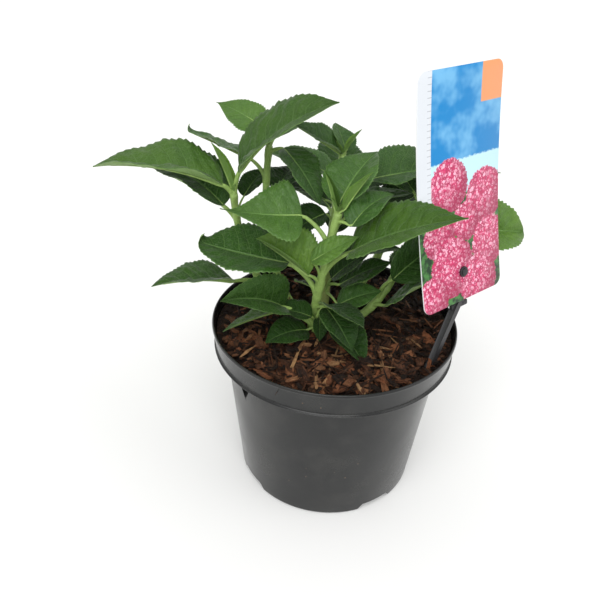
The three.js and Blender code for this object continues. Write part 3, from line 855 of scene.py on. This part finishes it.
class GrowLeaves(bpy.types.Operator):
    """Grow the toothed, veined blades of each stem's leaves and the bud at its tip"""

    bl_idname = "hydrangea.grow_leaves"
    bl_label = "Grow leaves"

    def execute(self, context):
        material = kept_material("hydrangea leaf", leaf_material, context.scene.hydrangea_leaves)
        template = blade_template()
        random = seeded(71)
        for name, limb in STEMS.items():
            bm = toned_bmesh("Blade")
            for each in limb["leaves"] + tip_bud(random):
                grow_blade(bm, template, each, laid_out(limb, each)[1], next(random))
            finish_mesh(f"{name}_leaves", bm, material, [f"{name}_foliage"])
        bpy.data.meshes.remove(template)
        return {"FINISHED"}


def tip_bud(random):
    """Two folded leaflets that close over the stem's tip."""
    turn = between(random, 0, 180)
    return [
        leaf(1.0, (1.2, turn + half, 60), (between(random, 8, 12), turn + half, 62),
             plump=0.5, fold=55, droop=-20, age=1.0)
        for half in (0, 180)
    ]


# ---------------- pot, bark and tag shapes

LATHE_STEPS = 240
POT_FOOT_RADIUS = 65.5
POT_BODY_TOP_RADIUS = 76.5
POT_WALL = 1.8
POT_FLOOR = 4
COLLAR_HEIGHT = 18.5
COLLAR_DRAFT = 2.5
NOTCH_FIRST, NOTCH_COUNT = 36.5, 4
NOTCH_HALF_WIDTH, NOTCH_TOP_HALF_WIDTH, NOTCH_HEIGHT, NOTCH_INNER_RADIUS = 15.8, 10.5, 6, 56
DENT_FIRST, DENT_COUNT = -18.5, 3
DENT_WIDTH, DENT_HEIGHT, DENT_REACH, DENT_POINT = 29, 22, 75, 0.01
DRAIN_COUNT, DRAIN_RADIUS, DRAIN_CIRCLE = 8, 4, 38
WALL_RINGS = 14
FOOT_CHAMFER = 1.2
# Steps out and up: the bead from the collar's foot, the rolled lip and its inside from the rim's edge
COLLAR_BEAD = ((0.9, 0), (1.4, 0.4), (1.4, 0.9), (0.1, 1.6))
LIP = ((-0.3, -2.2), (0, -1.5), (-0.5, 0), (-1.6, 0))
LIP_INSIDE = ((-POT_WALL, -1.2), (-1.1, 0.3), (-1.1, 2))
OUTER_ROUNDING, INNER_ROUNDING = 0.7, 0.6
STRAIGHT = math.radians(3)


def rounded(profile, radius, steps=4):
    """A profile with each inner corner turned into a short curve."""
    line = [Vector(p) for p in profile]
    out = [line[0]]
    for before, corner, after in zip(line, line[1:], line[2:]):
        if abs((corner - before).angle_signed(after - corner)) < STRAIGHT:
            out.append(corner)
            continue
        reach = min(radius, (corner - before).length * 0.45, (after - corner).length * 0.45)
        start = corner + (before - corner).normalized() * reach
        end = corner + (after - corner).normalized() * reach
        out += [bend(start, corner, end, i / steps) for i in range(steps + 1)]
    return out + [line[-1]]


def lathe(profile):
    """A closed turned shape from its half profile in millimetres, from the axis to the axis."""
    bm = bmesh.new()
    spots = [bm.verts.new((p.x * MM, 0, p.y * MM)) for p in profile]
    edges = [bm.edges.new(pair) for pair in zip(spots, spots[1:])]
    bmesh.ops.spin(bm, geom=spots + edges, cent=(0, 0, 0), axis=(0, 0, 1), angle=math.tau,
                   steps=LATHE_STEPS, use_merge=True)
    bmesh.ops.remove_doubles(bm, verts=bm.verts[:], dist=1e-6)
    bmesh.ops.dissolve_degenerate(bm, edges=bm.edges[:], dist=1e-7)
    bmesh.ops.recalc_face_normals(bm, faces=bm.faces[:])
    return bm


def cut_away(bm, tool):
    """Takes the tool's volume out of a closed shape."""
    whole, knife = placed("whole", mesh_of("whole", bm.copy())), placed("knife", mesh_of("knife", tool))
    cut = whole.modifiers.new("cut", "BOOLEAN")
    cut.object, cut.operation, cut.solver = knife, "DIFFERENCE", "EXACT"
    made = bpy.data.meshes.new_from_object(whole.evaluated_get(bpy.context.evaluated_depsgraph_get()))
    bm.clear()
    bm.from_mesh(made)
    spent = [made, whole.data, knife.data]
    for each in (whole, knife):
        bpy.data.objects.remove(each)
    for mesh in spent:
        bpy.data.meshes.remove(mesh)


def turned(heading, x, y, z):
    """A place in millimetres, turned about the pot's axis by a heading."""
    return turn_by(heading) @ Matrix.Translation((x * MM, y * MM, z * MM))


def add_inroads(bm, margin, collar_foot):
    """The drainage notches in the foot and the dents under the collar, grown by a margin."""
    for i in range(NOTCH_COUNT):
        block = bmesh.ops.create_cube(bm, size=1)["verts"]
        inner, outer = NOTCH_INNER_RADIUS - margin, POT_FOOT_RADIUS + 20
        for v in block:
            high = v.co.z > 0
            half = (NOTCH_TOP_HALF_WIDTH if high else NOTCH_HALF_WIDTH) + margin
            v.co = Vector((outer if v.co.x > 0 else inner, math.copysign(half, v.co.y),
                           NOTCH_HEIGHT + margin if high else -1)) * MM
        heading = NOTCH_FIRST + i * 360 / NOTCH_COUNT
        bmesh.ops.transform(bm, matrix=turned(heading, 0, 0, 0), verts=block)
    for i in range(DENT_COUNT):
        matrix = turned(DENT_FIRST + i * 360 / DENT_COUNT, DENT_REACH, 0, collar_foot - DENT_HEIGHT / 2)
        cone(bm, 4, DENT_POINT, DENT_WIDTH / 2 + margin, DENT_HEIGHT + 2 * margin,
             matrix @ turn_by(45))


def pot_shape(height, rim):
    """The moulded pot with its collar and rolled lip, its wall wrapped round each notch and dent."""
    collar_foot = height - COLLAR_HEIGHT
    collar_in = rim - COLLAR_DRAFT
    ways_up = [i / WALL_RINGS for i in range(WALL_RINGS + 1)]
    wall = [(lerp(POT_FOOT_RADIUS, POT_BODY_TOP_RADIUS, t), lerp(FOOT_CHAMFER, collar_foot, t))
            for t in ways_up]
    outside = lathe(rounded([
        (0, 0), (POT_FOOT_RADIUS - FOOT_CHAMFER, 0), *wall,
        *((collar_in + out, collar_foot + up) for out, up in COLLAR_BEAD),
        *((rim + out, height + up) for out, up in LIP), (0, height),
    ], OUTER_ROUNDING))
    shelf = collar_foot + POT_WALL
    collar_inside = collar_in - POT_WALL + COLLAR_DRAFT * POT_WALL / COLLAR_HEIGHT
    cavity = lathe(rounded([
        (0, POT_FLOOR), (POT_FOOT_RADIUS - POT_WALL, POT_FLOOR), (POT_BODY_TOP_RADIUS - POT_WALL, shelf),
        (collar_inside, shelf), *((rim + out, height + up) for out, up in LIP_INSIDE), (0, height + 2),
    ], INNER_ROUNDING))
    for margin, shape in ((POT_WALL, cavity), (0, outside)):
        tool = bmesh.new()
        add_inroads(tool, margin, collar_foot)
        cut_away(shape, tool)
    cut_away(outside, cavity)
    drains = bmesh.new()
    for i in range(DRAIN_COUNT):
        cone(drains, 32, DRAIN_RADIUS, DRAIN_RADIUS, 3 * POT_FLOOR,
             turned(i * 360 / DRAIN_COUNT, DRAIN_CIRCLE, 0, 0))
    cut_away(outside, drains)
    return outside


BARK_LEVEL = 121
BARK_CROWN = 2
BARK_REACH = 81
STEM_CLEARANCE = 7
BED_HEAP = 3.0


def chip_template(random, name):
    """A torn flake one long and one wide: a cut cube with frayed ends and edges, and its grain as a map."""
    bm = bmesh.new()
    bmesh.ops.create_cube(bm, size=1)
    for axis, cuts in ((0, 3), (1, 2)):
        across = [e for e in bm.edges if span(e, axis) > 0.5]
        bmesh.ops.subdivide_edges(bm, edges=across, cuts=cuts, use_grid_fill=True)
    bm.verts.layers.float_color.new("Tone")
    write_map(bm, "Grain", lambda face, spot: (spot.x, spot.y + 0.6 * spot.z))
    skew, arch, point = between(random, -0.8, 0.8), between(random, -0.5, 0.9), between(random, -0.1, 0.6)
    frays = {}
    for v in bm.verts:
        strand = (round(v.co.y, 2), v.co.x > 0)
        if strand not in frays:
            frays[strand] = between(random, -0.34, 0.2)
        ends = smooth(0.15, 0.5, abs(v.co.x))
        thin = 1 - between(random, 0.4, 0.95) * ends
        v.co.z = v.co.z * thin * between(random, 0.5, 1.3) + arch * (0.25 - v.co.x ** 2)
        v.co.y = v.co.y * (1 - point * ends) * between(random, 0.7, 1.2) + skew * 0.3 * v.co.x
        v.co.x += math.copysign(frays[strand], v.co.x) * ends + between(random, -0.05, 0.05)
    return mesh_of(name, bm)


def strew(bm, random, templates, count, sizes, lift, tilt, shade):
    """Lays chips over the bed, clear of the stems, each with its own turn, size and shade."""
    feet = [limb["foot"].to_2d() for limb in STEMS.values()]
    laid = 0
    while laid < count:
        long, wide, thick = (between(random, *size) for size in sizes)
        reach = math.sqrt(next(random)) * (BARK_REACH - long * 0.5)
        bearing = between(random, 0, math.tau)
        spot = Vector((math.cos(bearing), math.sin(bearing))) * reach
        turn, lean, tip = (between(random, -most, most) for most in (180, tilt, tilt))
        height = between(random, *lift) + BED_HEAP * noise.noise(Vector((spot.x, spot.y, 3)) * 0.045)
        pick = templates[int(next(random) * len(templates))]
        # Chips towards the front are larger and lighter, those towards the back smaller and darker
        frontness = smooth(-30, 75, -spot.y)
        long, wide = long * lerp(0.85, 1.2, frontness), wide * lerp(0.85, 1.2, frontness)
        colour = (min(1.0, between(random, *shade) * lerp(0.6, 1.15, frontness)), next(random), 0.0, 1.0)
        if any((spot - foot).length < STEM_CLEARANCE for foot in feet):
            continue
        level = BARK_LEVEL + BARK_CROWN * (1 - (reach / BARK_REACH) ** 2) + height
        matrix = (Matrix.Translation(Vector((spot.x, spot.y, level)) * MM)
                  @ turn_by(turn) @ turn_by(lean, "Y") @ turn_by(tip, "X")
                  @ Matrix.Diagonal((long * MM, wide * MM, thick * MM, 1)))
        chip = pick.copy()
        chip.transform(matrix)
        chip.attributes["Tone"].data.foreach_set("color", colour * len(chip.vertices))
        bm.from_mesh(chip, face_normals=False)
        bpy.data.meshes.remove(chip)
        laid += 1


TAG_MIDDLE, TAG_TURN, TAG_LEAN = Vector((72.5, -5, 230.5)), 42.7, 77.5
TAG_FRAME = Matrix.Translation(TAG_MIDDLE * MM) @ turn_by(TAG_TURN) @ turn_by(TAG_LEAN, "X")
TAG_WIDTH, TAG_HEIGHT, TAG_THICKNESS, TAG_CORNER, TAG_BOW = 74, 144, 1, 6, 3
PEG_DROP, PEG_RADIUS, PEG_HEAD_RADIUS, GAP = 53, 2.6, 3.5, 0.3


def bow_of(y):
    return TAG_BOW * ((2 * y / TAG_HEIGHT) ** 2 - 1)


BACK_OF_TAG = bow_of(-PEG_DROP) - TAG_THICKNESS / 2 - GAP


def box_in(bm, size, centre, rounding):
    """A rounded box by its size and centre in millimetres."""
    verts = bmesh.ops.create_cube(bm, size=1)["verts"]
    bmesh.ops.transform(bm, matrix=Matrix.Translation(Vector(centre) * MM)
                        @ Matrix.Diagonal((*(Vector(size) * MM), 1)), verts=verts)
    bevel(bm, {e for v in verts for e in v.link_edges}, rounding, 3)


def card_shape():
    """The tag's card: a cut cube with round corners and its peg hole, bowed along its height."""
    bm = bmesh.new()
    verts = bmesh.ops.create_cube(bm, size=1)["verts"]
    bmesh.ops.scale(bm, vec=Vector((TAG_WIDTH, TAG_HEIGHT, TAG_THICKNESS)) * MM, verts=verts)
    bevel(bm, [e for e in bm.edges if span(e, 2) > 0.5 * MM], TAG_CORNER, 10)
    bevel(bm, [e for e in bm.edges if span(e, 2) < 0.1 * MM], 0.2, 2)
    hole = bmesh.new()
    cone(hole, 40, PEG_RADIUS + GAP, PEG_RADIUS + GAP, 8, Matrix.Translation((0, -PEG_DROP * MM, 0)))
    cut_away(bm, hole)
    for row in range(-66, 67, 6):
        bmesh.ops.bisect_plane(bm, geom=bm.verts[:] + bm.edges[:] + bm.faces[:], dist=1e-7,
                               plane_co=(0, row * MM, 0), plane_no=(0, 1, 0))

    def on_card(face, spot):
        """The card's face from 0 to 1 each way, with its back and rims two to the right."""
        back = 2.0 if face.normal.z < 0.5 else 0.0
        return spot.x / MM / TAG_WIDTH + 0.5 + back, spot.y / MM / TAG_HEIGHT + 0.5

    write_map(bm, "Card", on_card)
    for v in bm.verts:
        v.co.z += bow_of(v.co.y / MM) * MM
    bmesh.ops.transform(bm, matrix=TAG_FRAME, verts=bm.verts[:])
    return bm


BAR_BEHIND, BAR_WIDTH, BAR_THICKNESS, PLATE_WIDTH, PLATE_HEIGHT = 2.7, 9, 3, 15, 3.6
BELOW_CARD, PEG_ROUNDING = 5, 0.35
STAKE_TOP_RADIUS, STAKE_RADIUS, STAKE_POINT_RADIUS, STAKE_POINT = 3.1, 2.7, 1.6, 5.5
STAKE_FOOT = Vector((64, -40, BARK_LEVEL))
STAKE_RINGS = 12


def stake_shape():
    """The holder: a bar and plate behind the card, a peg through its hole, and a stake down to the bark."""
    bm = bmesh.new()
    bottom = -TAG_HEIGHT / 2 - BELOW_CARD
    bar = BACK_OF_TAG - BAR_BEHIND
    box_in(bm, (BAR_WIDTH, TAG_HEIGHT / 2 - PEG_DROP + 2 * BELOW_CARD, BAR_THICKNESS),
           (0, (bottom - PEG_DROP + BELOW_CARD) / 2, bar), 0.5)
    box_in(bm, (PLATE_WIDTH, PLATE_HEIGHT, BAR_THICKNESS), (0, bottom, bar), 0.6)
    for radius, depth, at in ((PEG_RADIUS, 6, BACK_OF_TAG + 0.6),
                              (PEG_HEAD_RADIUS, 1.2, bow_of(-PEG_DROP) + TAG_THICKNESS / 2 + GAP + 0.6)):
        made = cone(bm, 36, radius, radius * 0.97, depth, Matrix.Translation((0, -PEG_DROP * MM, at * MM)))
        top = max(v.co.z for v in made)
        bevel(bm, {e for v in made for e in v.link_edges if all(abs(w.co.z - top) < 1e-6 for w in e.verts)},
              PEG_ROUNDING, 3)
    bmesh.ops.transform(bm, matrix=TAG_FRAME, verts=bm.verts[:])
    head = (TAG_FRAME @ (Vector((0, -TAG_HEIGHT / 2 - 2, bar)) * MM)) / MM
    down = (STAKE_FOOT - head).normalized()
    ways_down = [i / STAKE_RINGS for i in range(STAKE_RINGS + 1)]
    spots = [head.lerp(STAKE_FOOT, t) for t in ways_down] + [STAKE_FOOT + down * STAKE_POINT]
    radii = [lerp(STAKE_TOP_RADIUS, STAKE_RADIUS, t) for t in ways_down] + [STAKE_POINT_RADIUS]
    shaft = tube(spots, radii, 4)
    bevel(shaft, [e for e in shaft.edges
                  if abs((e.verts[0].co - e.verts[1].co).normalized().dot(down)) > 0.9], 0.7, 3)
    add_part(bm, shaft)
    return bm


# ---------------- materials of the pot, bark and tag


DUST, CRUMB, HOLDER_BLACK = (0.2, 0.19, 0.17, 1), (0.2, 0.13, 0.08, 1), (0.014, 0.014, 0.016)
TAN_BARK, DAMP_TINT, DRY_TINT = (0.19, 0.095, 0.048, 1), (0.35, 0.3, 0.28), (1.7, 1.5, 1.3)
CLOUD, HAZE = (0.2, 0.5, 0.76, 1), (0.5, 0.74, 0.82, 1)
GREEN_SHADE, GREEN_LIGHT = (0.01, 0.035, 0.012, 1), (0.06, 0.2, 0.045, 1)
FLORET_HEART, FLORET_PALE = (0.92, 0.4, 0.57, 1), (0.95, 0.55, 0.68, 1)
PAPER, TICK = (0.64, 0.67, 0.71, 1), (0.26, 0.27, 0.3, 1)
CARD_BACK, CARD_FIBRE = (0.84, 0.85, 0.86, 1), (0.5, 0.5, 0.5, 1)


def dust_masks(nodes, amount):
    place = nodes.here()
    film = nodes.ramp(nodes.noise(place, 28.0, 5.0, 0.7), 0.4, 0.75)
    grit = nodes.cells(place, 260.0)
    near = nodes.ramp(grit["Distance"], 0.16, 0.08)
    few = nodes.math("GREATER_THAN", nodes.split(grit["Color"])[0], 0.93)
    return nodes.times(film, amount), nodes.times(near, few)


def dust_group():
    """Fine pale dust and crumbs that gather in specks, for the pot and the holder."""
    return mask_group("Dust", {"Amount": 0.3}, ("Film", "Crumbs"), dust_masks)


def plastic_material(name, colour, roughness, dust):
    """Dark moulded plastic with a soft grain, faint scuffs and a little dust."""
    material, nodes, shader = new_material(name, {"Specular IOR Level": 0.46, "IOR": 1.49})
    patch, speck = nodes.group(mottle_group(), 16.0, 1500.0)
    film, crumbs = nodes.group(dust_group(), dust)
    shade = nodes.mix(patch, rgba(colour), rgba(colour, 1.25))
    shade = nodes.lay(shade, DUST, film, 0.5)
    shade = nodes.lay(shade, CRUMB, crumbs, 0.6)
    rough = nodes.times(film, 0.4, nodes.times(patch, 0.08, roughness))
    height = nodes.total((speck, 0.08), (crumbs, 0.6), (nodes.noise(nodes.here(), 17.0, 1.0), 7.0))
    nodes.surface(shader, shade, rough, height, 0.5, 0.0004)
    return material


def bark_material(name, colours, from_chips):
    """Bark in streaks along the grain: by each chip's own shade, or by patches on the bed below."""
    material, nodes, shader = new_material(name, {"Specular IOR Level": 0.25})
    patch, speck = nodes.group(mottle_group(), 240.0, 1500.0)
    if from_chips:
        shade, quirk, _ = nodes.split(nodes.tone())
        _, x, y = nodes.uv("Grain")
        ways = (nodes.times(x, 1.6), nodes.times(y, 9.0), nodes.times(quirk, 90.0))
        fibre = nodes.add("ShaderNodeCombineXYZ", enumerate(ways)).outputs[0]
        grain = nodes.noise(fibre, 1.0, 4.0, 0.65)
    else:
        shade = nodes.times(nodes.noise(nodes.here(), 130.0, 4.0), 0.25)
        quirk = nodes.noise(nodes.here(), 300.0, 2.0)
        grain = nodes.noise(nodes.here(), 420.0, 3.0)
    grain = nodes.ramp(grain, 0.3, 0.7)
    shade = nodes.times(grain, 0.22, nodes.math("SUBTRACT", shade, 0.11))
    fresh = nodes.mix(quirk, rgba(colours.fresh), TAN_BARK)
    colour = nodes.mix(nodes.ramp(shade, 0.1, 0.6), rgba(colours.dark), fresh)
    colour = nodes.mix(nodes.ramp(shade, 0.6, 0.95), colour, rgba(colours.pale))
    colour = nodes.lay(colour, nodes.tint(colour, DAMP_TINT), patch, 0.55)
    colour = nodes.lay(colour, nodes.tint(colour, DRY_TINT), quirk, 0.4)
    height = nodes.total((speck, 0.4), (patch, 0.4), (grain, 1.0))
    nodes.surface(shader, colour, nodes.times(speck, 0.3, 0.5), height, 0.9, 0.0008)
    return material


# Middle and radius of each round motif on the card, in millimetres
HEADS = ((27, 76, 17), (60, 64, 18), (42, 51, 13), (17, 46, 14), (64, 33, 17), (28, 24, 20), (52, 9, 18),
         (8, 8, 15))


def card_material(colours):
    """A printed card: a tick strip, a blue field, a blank corner patch and round pink motifs over green."""
    material, nodes, shader = new_material("printed card", {
        "Specular IOR Level": 0.3, "Coat Weight": 0.12, "Coat Roughness": 0.12,
    })
    uv, x, y = nodes.uv("Card")
    spot = nodes.vector("MULTIPLY", uv, (TAG_WIDTH, TAG_HEIGHT, 1))
    streaks = nodes.ramp(nodes.noise(spot, 0.04, 3.0), 0.42, 0.66)
    sky = nodes.lay(rgba(colours.sky), CLOUD, streaks, 0.75)
    edge = nodes.times(nodes.noise(spot, 0.5, 2.0), 0.02, y)
    picture = nodes.mix(nodes.ramp(edge, 0.635, 0.645), HAZE, sky)
    green = nodes.mix(nodes.ramp(nodes.noise(spot, 0.22, 4.0), 0.4, 0.62), GREEN_SHADE, GREEN_LIGHT)
    picture = nodes.mix(nodes.ramp(edge, 0.5, 0.49), picture, green)
    petals = nodes.cells(spot, 0.62)
    paler, redder, deeper = nodes.split(petals["Color"])
    deep = rgba(colours.blossom, 0.6)
    floret = nodes.mix(nodes.ramp(petals["Distance"], 0.1, 0.55), FLORET_HEART,
                       nodes.mix(redder, rgba(colours.blossom), deep))
    floret = nodes.mix(nodes.ramp(paler, 0.5, 1.0, 0.0, 0.75), floret, FLORET_PALE)
    floret = nodes.mix(nodes.ramp(deeper, 0.6, 1.0, 0.0, 0.8), floret, deep)
    ragged = nodes.times(nodes.noise(spot, 0.45, 3.0), 5.0, -2.5)
    for cx, cy, radius in HEADS:
        reach = nodes.math("ADD", nodes.vector("DISTANCE", spot, (cx, cy, 0), "Value"), ragged)
        lit = nodes.vector("DISTANCE", spot, (cx - 0.3 * radius, cy + 0.4 * radius, 0), "Value")
        shaded = nodes.mix(nodes.ramp(lit, radius * 0.5, radius * 1.35, 0.0, 0.7), floret,
                           rgba(colours.blossom, 0.42))
        picture = nodes.mix(nodes.ramp(reach, radius, radius - 0.6), picture, shaded)
    inside = nodes.times(nodes.ramp(x, 0.735, 0.74), nodes.ramp(y, 0.84, 0.845))
    picture = nodes.mix(inside, picture, rgba(colours.corner))
    strip = nodes.times(nodes.ramp(x, 0.155, 0.15), nodes.ramp(edge, 0.4, 0.405))
    tick = nodes.math("LESS_THAN", nodes.math("PINGPONG", nodes.times(y, 40.0), 0.5), 0.07)
    tick = nodes.times(tick, nodes.ramp(x, 0.105, 0.11))
    paper = nodes.lay(PAPER, TICK, tick, 0.5)
    picture = nodes.mix(strip, picture, paper)
    fibres = nodes.ramp(nodes.noise(nodes.here(), 90.0, 5.0), 0.3, 0.7, 0.0, 0.05)
    plain = nodes.mix(fibres, CARD_BACK, CARD_FIBRE)
    colour = nodes.mix(nodes.math("GREATER_THAN", x, 1.2), picture, plain)
    grain = nodes.noise(nodes.here(), 1200.0, 2.0)
    nodes.surface(shader, colour, nodes.times(grain, 0.12, 0.3), grain, 0.08, 0.0002)
    return material


def floor_material(colour):
    material, nodes, shader = new_material("pale floor", {"Specular IOR Level": 0.2, "Roughness": 0.8})
    soft = nodes.ramp(nodes.noise(nodes.here(), 3.0, 3.0), 0.3, 0.7, 0.0, 0.03)
    nodes.feed(nodes.mix(soft, rgba(colour), rgba(colour, 0.92)), shader.inputs["Base Color"])
    return material


# ---------------- operators of the pot, bark, tag and stage


class MouldPot(bpy.types.Operator):
    """Turn the pot's wall, collar and lip, and cut its notches, dents and drain holes"""

    bl_idname = "hydrangea.mould_pot"
    bl_label = "Mould pot"

    def execute(self, context):
        settings = context.scene.hydrangea_pot
        shape = pot_shape(settings.height / MM, settings.rim_radius / MM)
        material = plastic_material("pot plastic", settings.colour, 0.17, 0.16)
        finish_mesh("nursery_pot", shape, material, ["pot"], sharp=35)
        return {"FINISHED"}


# Share of the chips, their length, width and thickness, how high they lie, their tilt and their shade
CHIP_SORTS = (
    (0.26, ((5, 11), (3, 6), (1, 2.4)), (-0.5, 2), 34, (0.0, 0.3)),
    (0.12, ((5, 11), (3.2, 6.2), (1.6, 3)), (0.8, 3.8), 36, (0.1, 0.6)),
    (0.28, ((2.5, 6), (1.4, 3.2), (0.7, 1.6)), (1.5, 4), 40, (0.0, 0.45)),
    (0.3, ((5, 15), (0.5, 1.2), (0.5, 1)), (2, 4.8), 30, (0.0, 0.4)),
    (0.045, ((4, 9), (1.6, 3.2), (0.9, 1.6)), (3, 4.8), 26, (0.5, 0.9)),
    (0.014, ((6, 15), (0.9, 2), (0.6, 1.1)), (4, 5.2), 14, (0.8, 1.0)),
)


class StrewBark(bpy.types.Operator):
    """Dress the root ball and strew chips, crumbs and splinters of bark over it"""

    bl_idname = "hydrangea.strew_bark"
    bl_label = "Strew bark"

    def execute(self, context):
        settings = context.scene.hydrangea_bark
        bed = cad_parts["bark_mulch"]
        for each in bed.material_slots:
            each.material = kept_material("bark bed", bark_material, "bark bed", settings, False)
        random = seeded(53)
        templates = [chip_template(random, f"chip_{i}") for i in range(8)]
        bm = toned_bmesh("Grain")
        for share, sizes, lift, tilt, shade in CHIP_SORTS:
            strew(bm, random, templates, int(settings.chips * share), sizes, lift, tilt, shade)
        finish_mesh("bark_chips", bm, bark_material("bark chip", settings, True), sharp=40)
        for mesh in templates:
            bpy.data.meshes.remove(mesh)
        return {"FINISHED"}


class CutCard(bpy.types.Operator):
    """Cut the picture card, bow it and print it"""

    bl_idname = "hydrangea.cut_card"
    bl_label = "Cut tag card"

    def execute(self, context):
        material = card_material(context.scene.hydrangea_card)
        finish_mesh("tag_card", card_shape(), material, ["plant_tag"], sharp=40)
        return {"FINISHED"}


class MakeStake(bpy.types.Operator):
    """Make the peg holder and the stake that carry the card"""

    bl_idname = "hydrangea.make_stake"
    bl_label = "Make tag holder"

    def execute(self, context):
        material = plastic_material("holder plastic", HOLDER_BLACK, 0.42, 0.2)
        finish_mesh("tag_stake", stake_shape(), material, ["tag_holder"], sharp=40)
        return {"FINISHED"}


CAMERA_PLACE = (0, -0.3825, 0.3839)
CAMERA_YAW, CAMERA_PITCH, CAMERA_ROLL = -3.68, 32.49, 2.16
CAMERA_SENSOR, CAMERA_LENS = 36, 39.18
SIDE_LIGHT_SHARE = 0.22
FLOOR_REACH = 8


def soft_light(name, towards, width, strength):
    """An even light that shines in a direction, from a patch of sky as wide as the given angle."""
    light = bpy.data.lights.new(name, "SUN")
    light.energy, light.angle = strength, math.radians(width)
    placed(name, light).rotation_euler = Vector(towards).to_track_quat("-Z", "Y").to_euler()


class SetStage(bpy.types.Operator):
    """Lay the pale floor, light it softly and set the camera at the photograph's angle"""

    bl_idname = "hydrangea.set_stage"
    bl_label = "Set stage"

    def execute(self, context):
        scene, settings = context.scene, context.scene.hydrangea_stage
        camera = bpy.data.cameras.new("camera")
        camera.sensor_width, camera.lens, camera.clip_start = CAMERA_SENSOR, CAMERA_LENS, 0.01
        eye = placed("camera", camera)
        yaw, pitch, roll = (math.radians(a) for a in (CAMERA_YAW, CAMERA_PITCH, CAMERA_ROLL))
        ahead = Vector((math.sin(yaw) * math.cos(pitch), math.cos(yaw) * math.cos(pitch), -math.sin(pitch)))
        level = Vector((math.cos(yaw), -math.sin(yaw), 0))
        over = level.cross(ahead)
        right = level * math.cos(roll) + over * math.sin(roll)
        up = over * math.cos(roll) - level * math.sin(roll)
        eye.matrix_world = (Matrix.Translation(CAMERA_PLACE)
                            @ Matrix((right, up, -ahead)).transposed().to_4x4())
        scene.camera = eye

        bm = bmesh.new()
        bmesh.ops.create_grid(bm, x_segments=8, y_segments=8, size=FLOOR_REACH)
        floor = placed("floor", mesh_of("floor", bm))
        floor.data.materials.append(floor_material(settings.floor))
        floor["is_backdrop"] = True

        world = bpy.data.worlds.new("soft light")
        world.use_nodes = True
        backdrop = world.node_tree.nodes["Background"]
        backdrop.inputs["Color"].default_value = (1, 1, 1, 1)
        backdrop.inputs["Strength"].default_value = settings.fill
        scene.world = world
        soft_light("key", (0.12, 0.95, -1), 55, settings.key)
        soft_light("side", (-0.9, 0.2, -0.7), 40, settings.key * SIDE_LIGHT_SHARE)
        scene.view_settings.view_transform = "Standard"
        return {"FINISHED"}


class HydrangeaPanel(bpy.types.Panel):
    """Everything that makes the potted plant, in order"""

    bl_idname = "HYDRANGEA_PT_steps"
    bl_label = "Potted Hydrangea"
    bl_space_type = "VIEW_3D"
    bl_region_type = "UI"
    bl_category = "Hydrangea"

    def draw(self, context):
        for step in STEPS:
            self.layout.operator(step.bl_idname)
        for name in SETTINGS:
            settings = getattr(context.scene, name)
            box = self.layout.box()
            for key in settings.__annotations__:
                box.prop(settings, key)


STEPS = (SetStage, MouldPot, StrewBark, GrowStems, GrowShoots, GrowLeaves, CutCard, MakeStake)
SETTINGS = {
    "hydrangea_leaves": LeafSettings, "hydrangea_stems": StemSettings, "hydrangea_bark": BarkSettings,
    "hydrangea_pot": PotSettings, "hydrangea_card": CardSettings, "hydrangea_stage": StageSettings,
}


def register():
    for each in (*SETTINGS.values(), *STEPS, HydrangeaPanel):
        bpy.utils.register_class(each)
    for name, kind in SETTINGS.items():
        setattr(bpy.types.Scene, name, PointerProperty(type=kind))


def unregister():
    for name in SETTINGS:
        delattr(bpy.types.Scene, name)
    for each in (HydrangeaPanel, *STEPS, *SETTINGS.values()):
        bpy.utils.unregister_class(each)


def main():
    register()
    for step in STEPS:
        group, call = step.bl_idname.split(".")
        getattr(getattr(bpy.ops, group), call)()
    boxes = {"cad": CAD_BOX, "visual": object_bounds()}
    {name: [list(corner) for corner in box] for name, box in boxes.items()}


if __name__ == "__main__":
    main()
